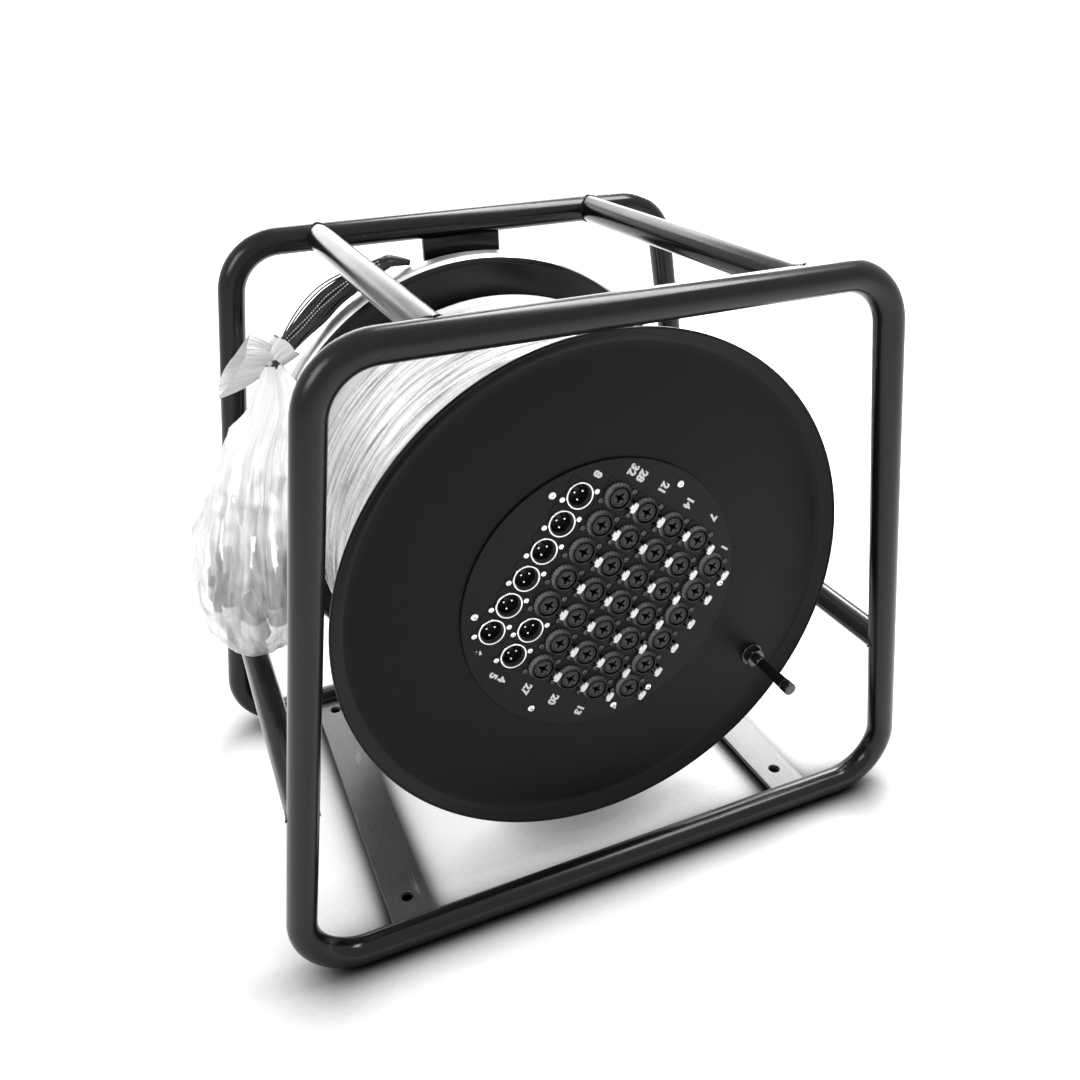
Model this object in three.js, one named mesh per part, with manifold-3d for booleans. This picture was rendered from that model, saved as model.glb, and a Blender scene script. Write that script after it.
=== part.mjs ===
// A stage box on a cable drum: a tube frame, a turning drum with a wound cable,
// a round panel of sockets in the drum's face, and a bag with the cable's tails.
// Millimetres, +Z up, the socket panel faces -Y.
// The axle runs along Y at x = 0, and z = 0 is the floor.
import * as THREE from 'three';
import { mergeVertices } from 'three/addons/utils/BufferGeometryUtils.js';
import Module from 'manifold-3d';

const wasm = await Module();
wasm.setup();

// Gaps and counts shared by all parts
const fitGap = 0.3;
const cutOverrun = 5;
const tubeSides = 16;
const bendSteps = 6;
const roundSides = 48;
const smallSides = 12;

// Tube frame
const tubeDiameter = 25;
const hoopSpacing = 364;
const hoopTopNarrowing = 26;
const hoopBottomWidening = 138;
const hoopBendRadius = 50;
const drumFloorClearance = 17;
const drumTopClearance = 12;
const topRailInset = 81;
const lowerRailDrop = 100;

// Flat bars under the drum
const strapInset = 104;
const strapWidth = 40;
const strapThickness = 5;
const strapHole = 11;
const strapFrontHoleInset = 27;
const strapRearHoleInset = 16;

// Upright bar that carries the axle at the rear
const bearingPlateWidth = 80;
const bearingPlateThickness = 6;
const bossDiameter = 70;
const bossLength = 28;

// Axle with its head and nut
const axleDiameter = 24;
const axleHeadDiameter = 36;
const axleHeadThickness = 9;
const axleNutDiameter = 40;
const axleNutThickness = 12;
const reachPastHoops = 19;

// Drum flanges
const flangeMargin = 31;
const flangeSheet = 3;
const flangeBandWidth = 12;
const flangeBandDepth = 8.3;
const flangeBend = 5;
const frontFlangeSetback = 36;
const rearFlangeSetback = 47;
const rearLipDepth = 25;

// Drum barrel with its web and hub
const barrelMargin = 12;
const barrelWall = 3;
const webSetback = 25;
const webThickness = 6;
const hubDiameter = 60;
const hubLength = 90;
const hubToBossGap = 1;

// Wound cable
const cableDiameter = 25;
const cablePitch = 26.5;
const windingDepth = 64;
const woundSteps = 24;
const woundSides = 6;
const coreSides = 48;

// Tails of the cable, wound behind the rear flange
const tailDiameter = 6;
const tailPitch = 6.6;
const tailSeat = 0.5;
const tailCoreThickness = 35;
const tailCoreDepth = 33;
const tailFirst = 4;
const tailLoops = 1.8;

// Socket panel, turned with the drum
const drumRestAngle = 37.1;
const panelMargin = 11.085;
const panelThickness = 2;
const openingInset = 9;
const openingRoom = 1.5;
const columnPitch = 31.7;
const rowPitch = 26.7;
const columnCount = 6;
const longRows = 7;
const shortRows = 6;
const longColumnRise = 2.8;
const shortColumnRise = 2;
const inletsInSecondColumn = 2;
const collarDiameter = 24;
const bodyDepth = 14;
const comboProud = 5.5;
const insertDiameter = 16.6;
const grooveDiameter = 19.6;
const grooveDepth = 6;
const jackHole = 6.8;
const jackDepth = 16;
const inletProud = 2;
const inletHole = 18.6;
const inletDepth = 13;
const pinDiameter = 2.4;
const pinCircle = 10.4;
const pinAngles = [180, 70, -70];
const pinShort = 3;
const pinSides = 6;

// Latch beside each combination socket
const latchOffset = 15.5;
const latchDrop = 1.5;
const latchWidth = 6.2;
const latchHeight = 9;
const latchProud = 7.5;
const latchTail = 1.5;

// Crank on the front flange
const crankInset = 42.3;
const crankRise = 10.7;
const crankPin = 5;
const crankStem = 10;
const crankWasher = 22;
const crankWasherThickness = 1.6;
const crankNut = 17;
const crankNutThickness = 7;
const gripBase = 10;
const gripWaist = 8.6;
const gripEnd = 12;
const gripBlind = 6;
const gripFerrule = 8;
const gripGroove = 0.8;
const gripRingInset = 9;

// Bag over the ends of the tails
const leadDiameter = 9;
const leadSides = 8;
const leadWrap = 16;
const leadRun = 74;
const leadForward = 13;
const leadLeaveAngle = 125;
const bagSides = 12;
const bagNeckSize = 16;
const bagWidth = 113;
const bagDepth = 124;
const bagRoom = 6;
const bagSetback = 30;
const bagFlareReach = 46;
const bagFlareWide = 38;
const bagFlareThick = 22;

// Sizes worked out from the ones above: the sockets give the panel, the panel gives
// the barrel, the winding gives the flanges, and the flanges give the frame
const collarRadius = collarDiameter / 2;
const outerColumnAcross = ((columnCount - 1) / 2) * columnPitch;
const outerColumnUp = shortColumnRise + ((shortRows - 1) / 2) * rowPitch;
const longColumnUp = longColumnRise + ((longRows - 1) / 2) * rowPitch;
const farthestSocket = Math.max(
  Math.hypot(outerColumnAcross, outerColumnUp),
  Math.hypot(outerColumnAcross - columnPitch, longColumnUp),
);
const panelDiameter = (farthestSocket + collarRadius + panelMargin) * 2;
const openingDiameter = panelDiameter - openingInset * 2;
const barrelDiameter = panelDiameter + barrelMargin * 2;
const windingDiameter = barrelDiameter + windingDepth * 2;
const flangeDiameter = windingDiameter + flangeMargin * 2;
const crankAcross = flangeDiameter / 2 - crankInset;
const tailTurnRadius = flangeDiameter / 2 + tailSeat + tailDiameter / 2;
const tailCoreInnerRadius = flangeDiameter / 2 - tailCoreThickness;
const tubeRadius = tubeDiameter / 2;
const bottomTubeHeight = tubeRadius;
const axleHeight = tubeDiameter + drumFloorClearance + flangeDiameter / 2;
const topTubeHeight = axleHeight + flangeDiameter / 2 + drumTopClearance + tubeRadius;
const hoopHeight = topTubeHeight - bottomTubeHeight;
const hoopTopWidth = flangeDiameter - hoopTopNarrowing;
const hoopBottomWidth = flangeDiameter + hoopBottomWidening;
const topRailSpacing = hoopTopWidth - topRailInset * 2;
const lowerRailHeight = axleHeight - lowerRailDrop;
const strapSpacing = hoopBottomWidth - strapInset * 2;
const hoopHalfSpacing = hoopSpacing / 2;
const tubeCut = tubeRadius + fitGap;
const frontFlangeFront = frontFlangeSetback - hoopHalfSpacing;
const rearFlangeFront = hoopHalfSpacing - rearFlangeSetback;
const webPosition = rearFlangeFront - webSetback;
const axleRearReach = hoopHalfSpacing + reachPastHoops;
const gripReach = hoopHalfSpacing + reachPastHoops;
const faceRadius = flangeDiameter / 2 - flangeBandWidth;
const frontFaceFront = frontFlangeFront + flangeBandDepth;
const frontFaceBack = frontFaceFront + flangeSheet;
const rearFaceBack = rearFlangeFront + flangeSheet;
const barrelRadius = barrelDiameter / 2;
const panelBack = frontFaceFront - fitGap;
const panelFront = panelBack - panelThickness;
const windingInnerFront = frontFaceBack + fitGap;
const windingInnerRear = rearFlangeFront - fitGap;
const plateFront = hoopHalfSpacing - bearingPlateThickness / 2;
const hubRear = plateFront - bossLength - hubToBossGap;
const hubFront = hubRear - hubLength;
const fullTurn = Math.PI * 2;
const quarterTurn = Math.PI / 2;
const chordShare = Math.cos(Math.PI / woundSteps);

// Radius of a many-sided cut whose flats stay outside a given radius
function cutRadius(radius, sides) {
  return radius / Math.cos(Math.PI / sides);
}

function colour(hex, rough, metal) {
  return new THREE.MeshStandardMaterial({ color: hex, roughness: rough, metalness: metal });
}

const paint = colour(0x1b1c1e, 0.35, 0.2);
const darkPaint = colour(0x232425, 0.55, 0.2);
const steel = colour(0xb4b6b8, 0.35, 0.9);
const socketBlack = colour(0x2c2d2f, 0.6, 0.1);
const latchMetal = colour(0xd8d9da, 0.4, 0.6);
const filmGrey = colour(0xc9cacb, 0.45, 0);
const tailBlack = colour(0x151516, 0.5, 0);
const bagClear = colour(0xe6e8ea, 0.3, 0);

// Solids through the boolean library
function toSolid(geometry) {
  const plain = geometry.clone();
  plain.deleteAttribute('normal');
  plain.deleteAttribute('uv');
  const merged = mergeVertices(plain);
  const mesh = new wasm.Mesh({
    numProp: 3,
    vertProperties: new Float32Array(merged.attributes.position.array),
    triVerts: new Uint32Array(merged.index.array),
  });
  return new wasm.Manifold(mesh);
}

function toGeometry(solid) {
  const mesh = solid.getMesh();
  const geometry = new THREE.BufferGeometry();
  geometry.setAttribute('position', new THREE.BufferAttribute(new Float32Array(mesh.vertProperties), 3));
  geometry.setIndex(new THREE.BufferAttribute(new Uint32Array(mesh.triVerts), 1));
  geometry.computeVertexNormals();
  return geometry;
}

function toMesh(solid, name, material) {
  const mesh = new THREE.Mesh(toGeometry(solid), material);
  mesh.name = name;
  return mesh;
}

// Basic shapes, each placed by moving its finished geometry
function cylinderY(radius, front, rear, sides, x, z) {
  const geometry = new THREE.CylinderGeometry(radius, radius, rear - front, sides);
  geometry.translate(x, (front + rear) / 2, z);
  return toSolid(geometry);
}

function boxBetween(low, high) {
  const size = high.clone().sub(low);
  const middle = high.clone().add(low).multiplyScalar(0.5);
  const geometry = new THREE.BoxGeometry(size.x, size.y, size.z);
  geometry.translate(middle.x, middle.y, middle.z);
  return toSolid(geometry);
}

// A cylinder between two points, for cutting away the room of a tube
function cylinderAlong(start, end, radius, sides) {
  const direction = end.clone().sub(start);
  const geometry = new THREE.CylinderGeometry(radius, radius, direction.length(), sides);
  const turn = new THREE.Quaternion().setFromUnitVectors(new THREE.Vector3(0, 1, 0), direction.clone().normalize());
  geometry.applyQuaternion(turn);
  const middle = start.clone().add(end).multiplyScalar(0.5);
  geometry.translate(middle.x, middle.y, middle.z);
  return toSolid(geometry);
}

// A ring or disc turned about the Y axis from a closed outline of radius and y
function turned(outline, sides) {
  const points = outline.map(([radius, y]) => new THREE.Vector2(radius, y));
  points.push(points[0].clone());
  const geometry = new THREE.LatheGeometry(points, sides);
  const solid = toSolid(geometry);
  if (solid.volume() < 0) {
    return toSolid(insideOut(geometry));
  }
  return solid;
}

function insideOut(geometry) {
  const flipped = geometry.clone();
  const index = flipped.index.array;
  for (let i = 0; i < index.length; i += 3) {
    const first = index[i];
    index[i] = index[i + 1];
    index[i + 1] = first;
  }
  return flipped;
}

// Rings of points joined into one closed tube, with its two ends capped or joined
function skinRings(rings, closed) {
  const count = rings[0].length;
  const positions = [];
  rings.forEach((ring) => ring.forEach((point) => positions.push(point.x, point.y, point.z)));
  const faces = [];
  const spans = closed ? rings.length : rings.length - 1;
  for (let i = 0; i < spans; i += 1) {
    const here = i * count;
    const next = ((i + 1) % rings.length) * count;
    for (let j = 0; j < count; j += 1) {
      const side = (j + 1) % count;
      faces.push(here + j, next + side, next + j);
      faces.push(here + j, here + side, next + side);
    }
  }
  if (!closed) {
    capRing(positions, faces, rings[0], 0, false);
    capRing(positions, faces, rings[rings.length - 1], (rings.length - 1) * count, true);
  }
  const geometry = new THREE.BufferGeometry();
  geometry.setAttribute('position', new THREE.BufferAttribute(new Float32Array(positions), 3));
  geometry.setIndex(faces);
  const solid = toSolid(geometry);
  if (solid.volume() < 0) {
    return toSolid(insideOut(geometry));
  }
  return solid;
}

function capRing(positions, faces, ring, offset, last) {
  const middle = new THREE.Vector3();
  ring.forEach((point) => middle.add(point));
  middle.divideScalar(ring.length);
  const index = positions.length / 3;
  positions.push(middle.x, middle.y, middle.z);
  for (let j = 0; j < ring.length; j += 1) {
    const side = (j + 1) % ring.length;
    if (last) {
      faces.push(index, offset + j, offset + side);
    } else {
      faces.push(index, offset + side, offset + j);
    }
  }
}

// A round section of a tube, set by two directions across it
function sectionRing(centre, across, up, radius, sides) {
  const ring = [];
  for (let j = 0; j < sides; j += 1) {
    const angle = (fullTurn * j) / sides;
    const point = centre.clone();
    point.addScaledVector(across, Math.cos(angle) * radius);
    point.addScaledVector(up, Math.sin(angle) * radius);
    ring.push(point);
  }
  return ring;
}

// Half the hoop's width at a height above the floor
function hoopHalfWidthAt(height) {
  const share = (height - bottomTubeHeight) / hoopHeight;
  return (hoopBottomWidth + (hoopTopWidth - hoopBottomWidth) * share) / 2;
}

function hoopCorners() {
  return [
    new THREE.Vector3(-hoopBottomWidth / 2, 0, bottomTubeHeight),
    new THREE.Vector3(hoopBottomWidth / 2, 0, bottomTubeHeight),
    new THREE.Vector3(hoopTopWidth / 2, 0, topTubeHeight),
    new THREE.Vector3(-hoopTopWidth / 2, 0, topTubeHeight),
  ];
}

// Sections of one bent corner of a hoop
function cornerRings(before, corner, after, y) {
  const toBefore = before.clone().sub(corner).normalize();
  const toAfter = after.clone().sub(corner).normalize();
  const half = toBefore.angleTo(toAfter) / 2;
  const inward = toBefore.clone().add(toAfter).normalize();
  const centre = corner.clone().addScaledVector(inward, hoopBendRadius / Math.sin(half));
  const sweep = Math.PI - half * 2;
  const depthAxis = new THREE.Vector3(0, 1, 0);
  const startDirection = corner.clone().addScaledVector(toBefore, hoopBendRadius / Math.tan(half)).sub(centre).normalize();
  const turnSign = Math.sign(toBefore.clone().cross(toAfter).y);
  const rings = [];
  for (let i = 0; i <= bendSteps; i += 1) {
    const angle = (turnSign * -sweep * i) / bendSteps;
    const outward = startDirection.clone().applyAxisAngle(depthAxis, angle);
    const point = centre.clone().addScaledVector(outward, hoopBendRadius);
    point.y = y;
    rings.push(sectionRing(point, outward, depthAxis, tubeRadius, tubeSides));
  }
  return rings;
}

function makeHoop(name, y) {
  const corners = hoopCorners();
  const rings = [];
  corners.forEach((corner, i) => {
    const before = corners[(i + corners.length - 1) % corners.length];
    const after = corners[(i + 1) % corners.length];
    rings.push(...cornerRings(before, corner, after, y));
  });
  return toMesh(skinRings(rings, true), name, paint);
}

// Room that a hoop's tube takes out of a part that meets it
function crossTubeRoom(y, height) {
  const reach = hoopBottomWidth / 2;
  const start = new THREE.Vector3(-reach, y, height);
  const end = new THREE.Vector3(reach, y, height);
  return cylinderAlong(start, end, cutRadius(tubeCut, tubeSides), tubeSides);
}

function sideTubeRoom(side, y) {
  const start = new THREE.Vector3((side * hoopBottomWidth) / 2, y, bottomTubeHeight);
  const end = new THREE.Vector3((side * hoopTopWidth) / 2, y, topTubeHeight);
  return cylinderAlong(start, end, cutRadius(tubeCut, tubeSides), tubeSides);
}

function makeTopRail(name, side) {
  let solid = cylinderY(tubeRadius, -hoopHalfSpacing, hoopHalfSpacing, tubeSides, (side * topRailSpacing) / 2, topTubeHeight);
  solid = solid.subtract(crossTubeRoom(-hoopHalfSpacing, topTubeHeight));
  solid = solid.subtract(crossTubeRoom(hoopHalfSpacing, topTubeHeight));
  return toMesh(solid, name, paint);
}

function makeLowerRail(name, side) {
  const x = side * hoopHalfWidthAt(lowerRailHeight);
  let solid = cylinderY(tubeRadius, -hoopHalfSpacing, hoopHalfSpacing, tubeSides, x, lowerRailHeight);
  solid = solid.subtract(sideTubeRoom(side, -hoopHalfSpacing));
  solid = solid.subtract(sideTubeRoom(side, hoopHalfSpacing));
  return toMesh(solid, name, paint);
}

function makeFloorStrap(name, side) {
  const middle = (side * strapSpacing) / 2;
  const low = new THREE.Vector3(middle - strapWidth / 2, -hoopHalfSpacing, bottomTubeHeight - strapThickness);
  const high = new THREE.Vector3(middle + strapWidth / 2, hoopHalfSpacing, bottomTubeHeight);
  let solid = boxBetween(low, high);
  solid = solid.subtract(crossTubeRoom(-hoopHalfSpacing, bottomTubeHeight));
  solid = solid.subtract(crossTubeRoom(hoopHalfSpacing, bottomTubeHeight));
  const clear = hoopHalfSpacing - tubeRadius;
  const holes = [-clear + strapFrontHoleInset, clear - strapRearHoleInset];
  holes.forEach((y) => {
    const start = new THREE.Vector3(middle, y, bottomTubeHeight - strapThickness - cutOverrun);
    const end = new THREE.Vector3(middle, y, bottomTubeHeight + cutOverrun);
    solid = solid.subtract(cylinderAlong(start, end, strapHole / 2, tubeSides));
  });
  return toMesh(solid, name, darkPaint);
}

function axleBore(front, rear) {
  return cylinderY(cutRadius(axleDiameter / 2 + fitGap, woundSteps), front, rear, woundSteps, 0, axleHeight);
}

function makeBearingPlate() {
  const half = bearingPlateWidth / 2;
  const plateRear = plateFront + bearingPlateThickness;
  const low = new THREE.Vector3(-half, plateFront, bottomTubeHeight);
  const high = new THREE.Vector3(half, plateRear, topTubeHeight);
  let solid = boxBetween(low, high);
  solid = solid.subtract(crossTubeRoom(hoopHalfSpacing, bottomTubeHeight));
  solid = solid.subtract(crossTubeRoom(hoopHalfSpacing, topTubeHeight));
  const bossEnd = plateFront + bearingPlateThickness / 2;
  solid = solid.add(cylinderY(bossDiameter / 2, plateFront - bossLength, bossEnd, woundSteps, 0, axleHeight));
  solid = solid.subtract(axleBore(plateFront - bossLength - cutOverrun, plateRear + cutOverrun));
  return toMesh(solid, 'bearing_plate', paint);
}

function makeAxle() {
  const plateRear = plateFront + bearingPlateThickness;
  const headRear = hubFront - fitGap;
  const nutFront = plateRear + fitGap;
  let solid = cylinderY(axleDiameter / 2, headRear - axleHeadThickness / 2, axleRearReach, woundSteps, 0, axleHeight);
  solid = solid.add(cylinderY(axleHeadDiameter / 2, headRear - axleHeadThickness, headRear, bendSteps, 0, axleHeight));
  solid = solid.add(cylinderY(axleNutDiameter / 2, nutFront, nutFront + axleNutThickness, bendSteps, 0, axleHeight));
  return toMesh(solid, 'axle', steel);
}

// Places a drum part: turned to the drum's rest angle, then lifted to the axle
function placeOnDrum(mesh) {
  mesh.geometry.rotateY(THREE.MathUtils.degToRad(drumRestAngle));
  mesh.geometry.translate(0, 0, axleHeight);
  return mesh;
}

function socketOpening() {
  const halfWide = outerColumnAcross + collarRadius + openingRoom;
  const halfHigh = ((longRows - 1) / 2) * rowPitch + collarRadius + openingRoom;
  const front = frontFlangeFront - cutOverrun;
  const rear = frontFaceBack + cutOverrun;
  const low = new THREE.Vector3(-halfWide, front, longColumnRise - halfHigh);
  const high = new THREE.Vector3(halfWide, rear, longColumnRise + halfHigh);
  return boxBetween(low, high).intersect(cylinderY(openingDiameter / 2, front, rear, roundSides, 0, 0));
}

function makeFrontFlange() {
  const rim = flangeDiameter / 2;
  const edge = flangeSheet / 2;
  const outline = [
    [0, frontFaceFront],
    [faceRadius - flangeBend, frontFaceFront],
    [faceRadius, frontFaceFront - flangeBend / 2],
    [rim - edge, frontFlangeFront],
    [rim, frontFlangeFront + edge],
    [rim, frontFlangeFront + flangeSheet],
    [faceRadius + edge, frontFaceBack - flangeBend / 2],
    [faceRadius - flangeBend / 2, frontFaceBack],
    [0, frontFaceBack],
  ];
  let solid = turned(outline, roundSides);
  solid = solid.subtract(socketOpening());
  const latchRooms = socketPlaces().filter((place) => !place.inlet)
    .map((place) => latchBox(place, frontFlangeFront, frontFaceBack + cutOverrun, openingRoom));
  solid = solid.subtract(wasm.Manifold.union(latchRooms));
  const pinRoom = cutRadius(crankStem / 2 + fitGap, smallSides);
  solid = solid.subtract(
    cylinderY(pinRoom, frontFaceFront - cutOverrun, frontFaceBack + cutOverrun, smallSides, crankAcross, crankRise),
  );
  return placeOnDrum(toMesh(solid, 'front_flange', darkPaint));
}

function makeRearFlange() {
  const rim = flangeDiameter / 2;
  const hubRoom = cutRadius(hubDiameter / 2 + fitGap, roundSides);
  const lipEnd = rearFlangeFront + rearLipDepth;
  const outline = [
    [hubRoom, rearFlangeFront],
    [rim - flangeBend, rearFlangeFront],
    [rim, rearFlangeFront + flangeBend],
    [rim, lipEnd],
    [rim - flangeSheet, lipEnd],
    [rim - flangeSheet, rearFaceBack + flangeBend - flangeSheet / 2],
    [rim - flangeBend - flangeSheet / 2, rearFaceBack],
    [hubRoom, rearFaceBack],
  ];
  return placeOnDrum(toMesh(turned(outline, roundSides), 'rear_flange', darkPaint));
}

// A plain ring of sheet or tube round the axle, as a closed outline
function ringOutline(outer, inner, front, rear) {
  return [
    [outer, front],
    [outer, rear],
    [inner, rear],
    [inner, front],
  ];
}

// The barrel between the flanges, its web near the rear, and the hub in the web
function makeBarrel() {
  const outline = ringOutline(barrelRadius, barrelRadius - barrelWall, windingInnerFront, windingInnerRear);
  return placeOnDrum(toMesh(turned(outline, roundSides), 'drum_barrel', darkPaint));
}

function makeWeb() {
  const outer = barrelRadius - barrelWall - fitGap;
  const outline = ringOutline(outer, hubDiameter / 2 + fitGap, webPosition, webPosition + webThickness);
  return placeOnDrum(toMesh(turned(outline, roundSides), 'drum_web', darkPaint));
}

function makeHub() {
  const bore = cutRadius(axleDiameter / 2 + fitGap, roundSides);
  const outline = ringOutline(hubDiameter / 2, bore, hubFront, hubRear);
  return placeOnDrum(toMesh(turned(outline, roundSides), 'drum_hub', darkPaint));
}

// A tube wound round the Y axis, with a straight run of one diameter at each end
function woundRings(turnRadius, diameter, pitch, loops, firstY, startAngle, lastRun) {
  const rings = [];
  const total = Math.round(loops * woundSteps);
  const climb = Math.atan(pitch / (fullTurn * turnRadius));
  const frameAt = (step) => {
    const angle = startAngle + (fullTurn * step) / woundSteps;
    const outward = new THREE.Vector3(Math.cos(angle), 0, Math.sin(angle));
    const along = new THREE.Vector3(-Math.sin(angle) * Math.cos(climb), Math.sin(climb), Math.cos(angle) * Math.cos(climb));
    const centre = outward.clone().multiplyScalar(turnRadius);
    centre.y = firstY + (pitch * step) / woundSteps;
    return { centre, outward, along, up: along.clone().cross(outward) };
  };
  const addRing = (frame, run) => {
    const centre = frame.centre.clone().addScaledVector(frame.along, run);
    rings.push(sectionRing(centre, frame.outward, frame.up, diameter / 2, woundSides));
  };
  addRing(frameAt(0), -diameter);
  for (let step = 0; step <= total; step += 1) {
    addRing(frameAt(step), 0);
  }
  addRing(frameAt(total), lastRun);
  return rings;
}

// Least distance between a wound tube and its own next turn, measured on its points
function leastTurnGap(rings, steps) {
  let least = Infinity;
  for (let i = 0; i + steps < rings.length; i += 1) {
    rings[i].forEach((point) => {
      rings[i + steps].forEach((other) => {
        least = Math.min(least, point.distanceTo(other));
      });
    });
  }
  return least;
}

function makeCableCore() {
  const outer = (windingDiameter / 2 - cableDiameter / 2) * chordShare - cableDiameter / 2 - fitGap;
  const inner = cutRadius(barrelRadius + fitGap, coreSides);
  const outline = ringOutline(outer, inner, windingInnerFront, windingInnerRear);
  return placeOnDrum(toMesh(turned(outline, coreSides), 'cable_core', filmGrey));
}

function makeCableTurns() {
  const turnRadius = windingDiameter / 2 - cableDiameter / 2;
  const room = windingInnerRear - windingInnerFront - cableDiameter - fitGap * 2;
  const loops = Math.floor((room / cablePitch) * woundSteps) / woundSteps;
  const middle = (windingInnerRear + windingInnerFront) / 2;
  const firstY = middle - (loops * cablePitch) / 2;
  const rings = woundRings(turnRadius, cableDiameter, cablePitch, loops, firstY, 0, cableDiameter);
  console.log('cable turns, least gap', leastTurnGap(rings, woundSteps).toFixed(2));
  return placeOnDrum(toMesh(skinRings(rings, false), 'cable_turns', filmGrey));
}

function makeTailCore() {
  const chordInside = tailTurnRadius * chordShare - tailDiameter / 2 - fitGap;
  const outer = Math.min(chordInside, (flangeDiameter / 2 - flangeSheet - fitGap) * chordShare);
  const front = rearFaceBack + flangeBend;
  const rear = rearFaceBack + tailCoreDepth;
  const outline = [
    [outer, front],
    [outer, rear],
    [tailCoreInnerRadius, rear],
    [tailCoreInnerRadius, rearFaceBack + fitGap],
    [outer - flangeBend, rearFaceBack + fitGap],
  ];
  return placeOnDrum(toMesh(turned(outline, coreSides), 'tail_core', tailBlack));
}

// The outer tails end at the angle where the lead runs off to the bag
function makeTailTurns() {
  const firstY = rearFlangeFront + rearLipDepth + tailFirst;
  const endAngle = THREE.MathUtils.degToRad(leadLeaveAngle - leadWrap * 2);
  const total = Math.round(tailLoops * woundSteps) / woundSteps;
  const restTurn = THREE.MathUtils.degToRad(drumRestAngle);
  const startAngle = endAngle - fullTurn * total + restTurn;
  const rings = woundRings(tailTurnRadius, tailDiameter, tailPitch, total, firstY, startAngle, tailDiameter);
  console.log('tail turns, least gap', leastTurnGap(rings, woundSteps).toFixed(2));
  return placeOnDrum(toMesh(skinRings(rings, false), 'tail_turns', tailBlack));
}

// Every socket's place on the panel: across, up and its kind
function socketPlaces() {
  const places = [];
  for (let column = 0; column < columnCount; column += 1) {
    const outerColumn = column === 0 || column === columnCount - 1;
    const rows = outerColumn ? shortRows : longRows;
    const rise = outerColumn ? shortColumnRise : longColumnRise;
    for (let row = 0; row < rows; row += 1) {
      const lastOfSecond = column === 1 && row >= longRows - inletsInSecondColumn;
      places.push({
        across: column * columnPitch - outerColumnAcross,
        up: rise - (row - (rows - 1) / 2) * rowPitch,
        inlet: column === 0 || lastOfSecond,
      });
    }
  }
  return places;
}

function socketBody(place) {
  const proud = place.inlet ? inletProud : comboProud;
  return cylinderY(collarRadius, panelFront - proud, panelBack + bodyDepth, smallSides, place.across, place.up);
}

// The ring-shaped groove and the middle hole of a combination socket
function comboHollow(place) {
  const front = panelFront - comboProud;
  const outer = cylinderY(
    grooveDiameter / 2, front - cutOverrun, front + grooveDepth, smallSides, place.across, place.up,
  );
  const insert = cylinderY(
    insertDiameter / 2, front - cutOverrun * 2, front + grooveDepth + cutOverrun, smallSides, place.across, place.up,
  );
  const jackRadius = cutRadius(jackHole / 2, bendSteps);
  const jack = cylinderY(jackRadius, front - cutOverrun, front + jackDepth, bendSteps, place.across, place.up);
  return outer.subtract(insert).add(jack);
}

// The open well of an inlet, less its three contact pins
function inletHollow(place) {
  const front = panelFront - inletProud;
  const floor = front + inletDepth;
  let well = cylinderY(inletHole / 2, front - cutOverrun, floor, smallSides, place.across, place.up);
  pinAngles.map(THREE.MathUtils.degToRad).forEach((angle) => {
    const x = place.across + (Math.cos(angle) * pinCircle) / 2;
    const z = place.up + (Math.sin(angle) * pinCircle) / 2;
    well = well.subtract(cylinderY(pinDiameter / 2, front + pinShort, floor + cutOverrun, pinSides, x, z));
  });
  return well;
}

function latchBox(place, front, rear, room) {
  const across = place.across + latchOffset;
  const up = place.up - latchDrop;
  const low = new THREE.Vector3(across - latchWidth / 2 - room, front, up - latchHeight / 2 - room);
  const high = new THREE.Vector3(across + latchWidth / 2 + room, rear, up + latchHeight / 2 + room);
  return boxBetween(low, high);
}

function makePanel() {
  const places = socketPlaces();
  const disc = cylinderY(panelDiameter / 2, panelFront, panelBack, roundSides, 0, 0);
  let solid = wasm.Manifold.union([disc, ...places.map(socketBody)]);
  const slots = places.filter((place) => !place.inlet)
    .map((place) => latchBox(place, panelFront - comboProud - cutOverrun, panelBack + bodyDepth + cutOverrun, fitGap));
  solid = solid.subtract(wasm.Manifold.union(slots));
  const hollows = places.map((place) => (place.inlet ? inletHollow(place) : comboHollow(place)));
  solid = solid.subtract(wasm.Manifold.union(hollows));
  return placeOnDrum(toMesh(solid, 'connector_panel', socketBlack));
}

function makeLatches() {
  const combos = socketPlaces().filter((place) => !place.inlet);
  return combos.map((place, i) => {
    const solid = latchBox(place, panelFront - latchProud, panelBack + latchTail, 0);
    const name = `latch_${String(i + 1).padStart(2, '0')}`;
    return placeOnDrum(toMesh(solid, name, latchMetal));
  });
}

// Stud of the crank: stem in the flange, washer, nut and the pin the grip turns on
function makeCrankStud() {
  const washerBack = frontFaceFront - fitGap;
  const washerFront = washerBack - crankWasherThickness;
  const nutFront = washerFront - crankNutThickness;
  const pinFront = -gripReach + gripBlind + fitGap;
  let solid = cylinderY(crankStem / 2, washerFront, frontFaceBack, smallSides, crankAcross, crankRise);
  solid = solid.add(cylinderY(crankWasher / 2, washerFront, washerBack, woundSteps, crankAcross, crankRise));
  solid = solid.add(
    cylinderY(cutRadius(crankNut / 2, bendSteps), nutFront, washerBack - crankWasherThickness / 2, bendSteps, crankAcross, crankRise),
  );
  solid = solid.add(cylinderY(crankPin / 2, pinFront, nutFront + crankNutThickness / 2, smallSides, crankAcross, crankRise));
  return placeOnDrum(toMesh(solid, 'crank_stud', steel));
}

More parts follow.
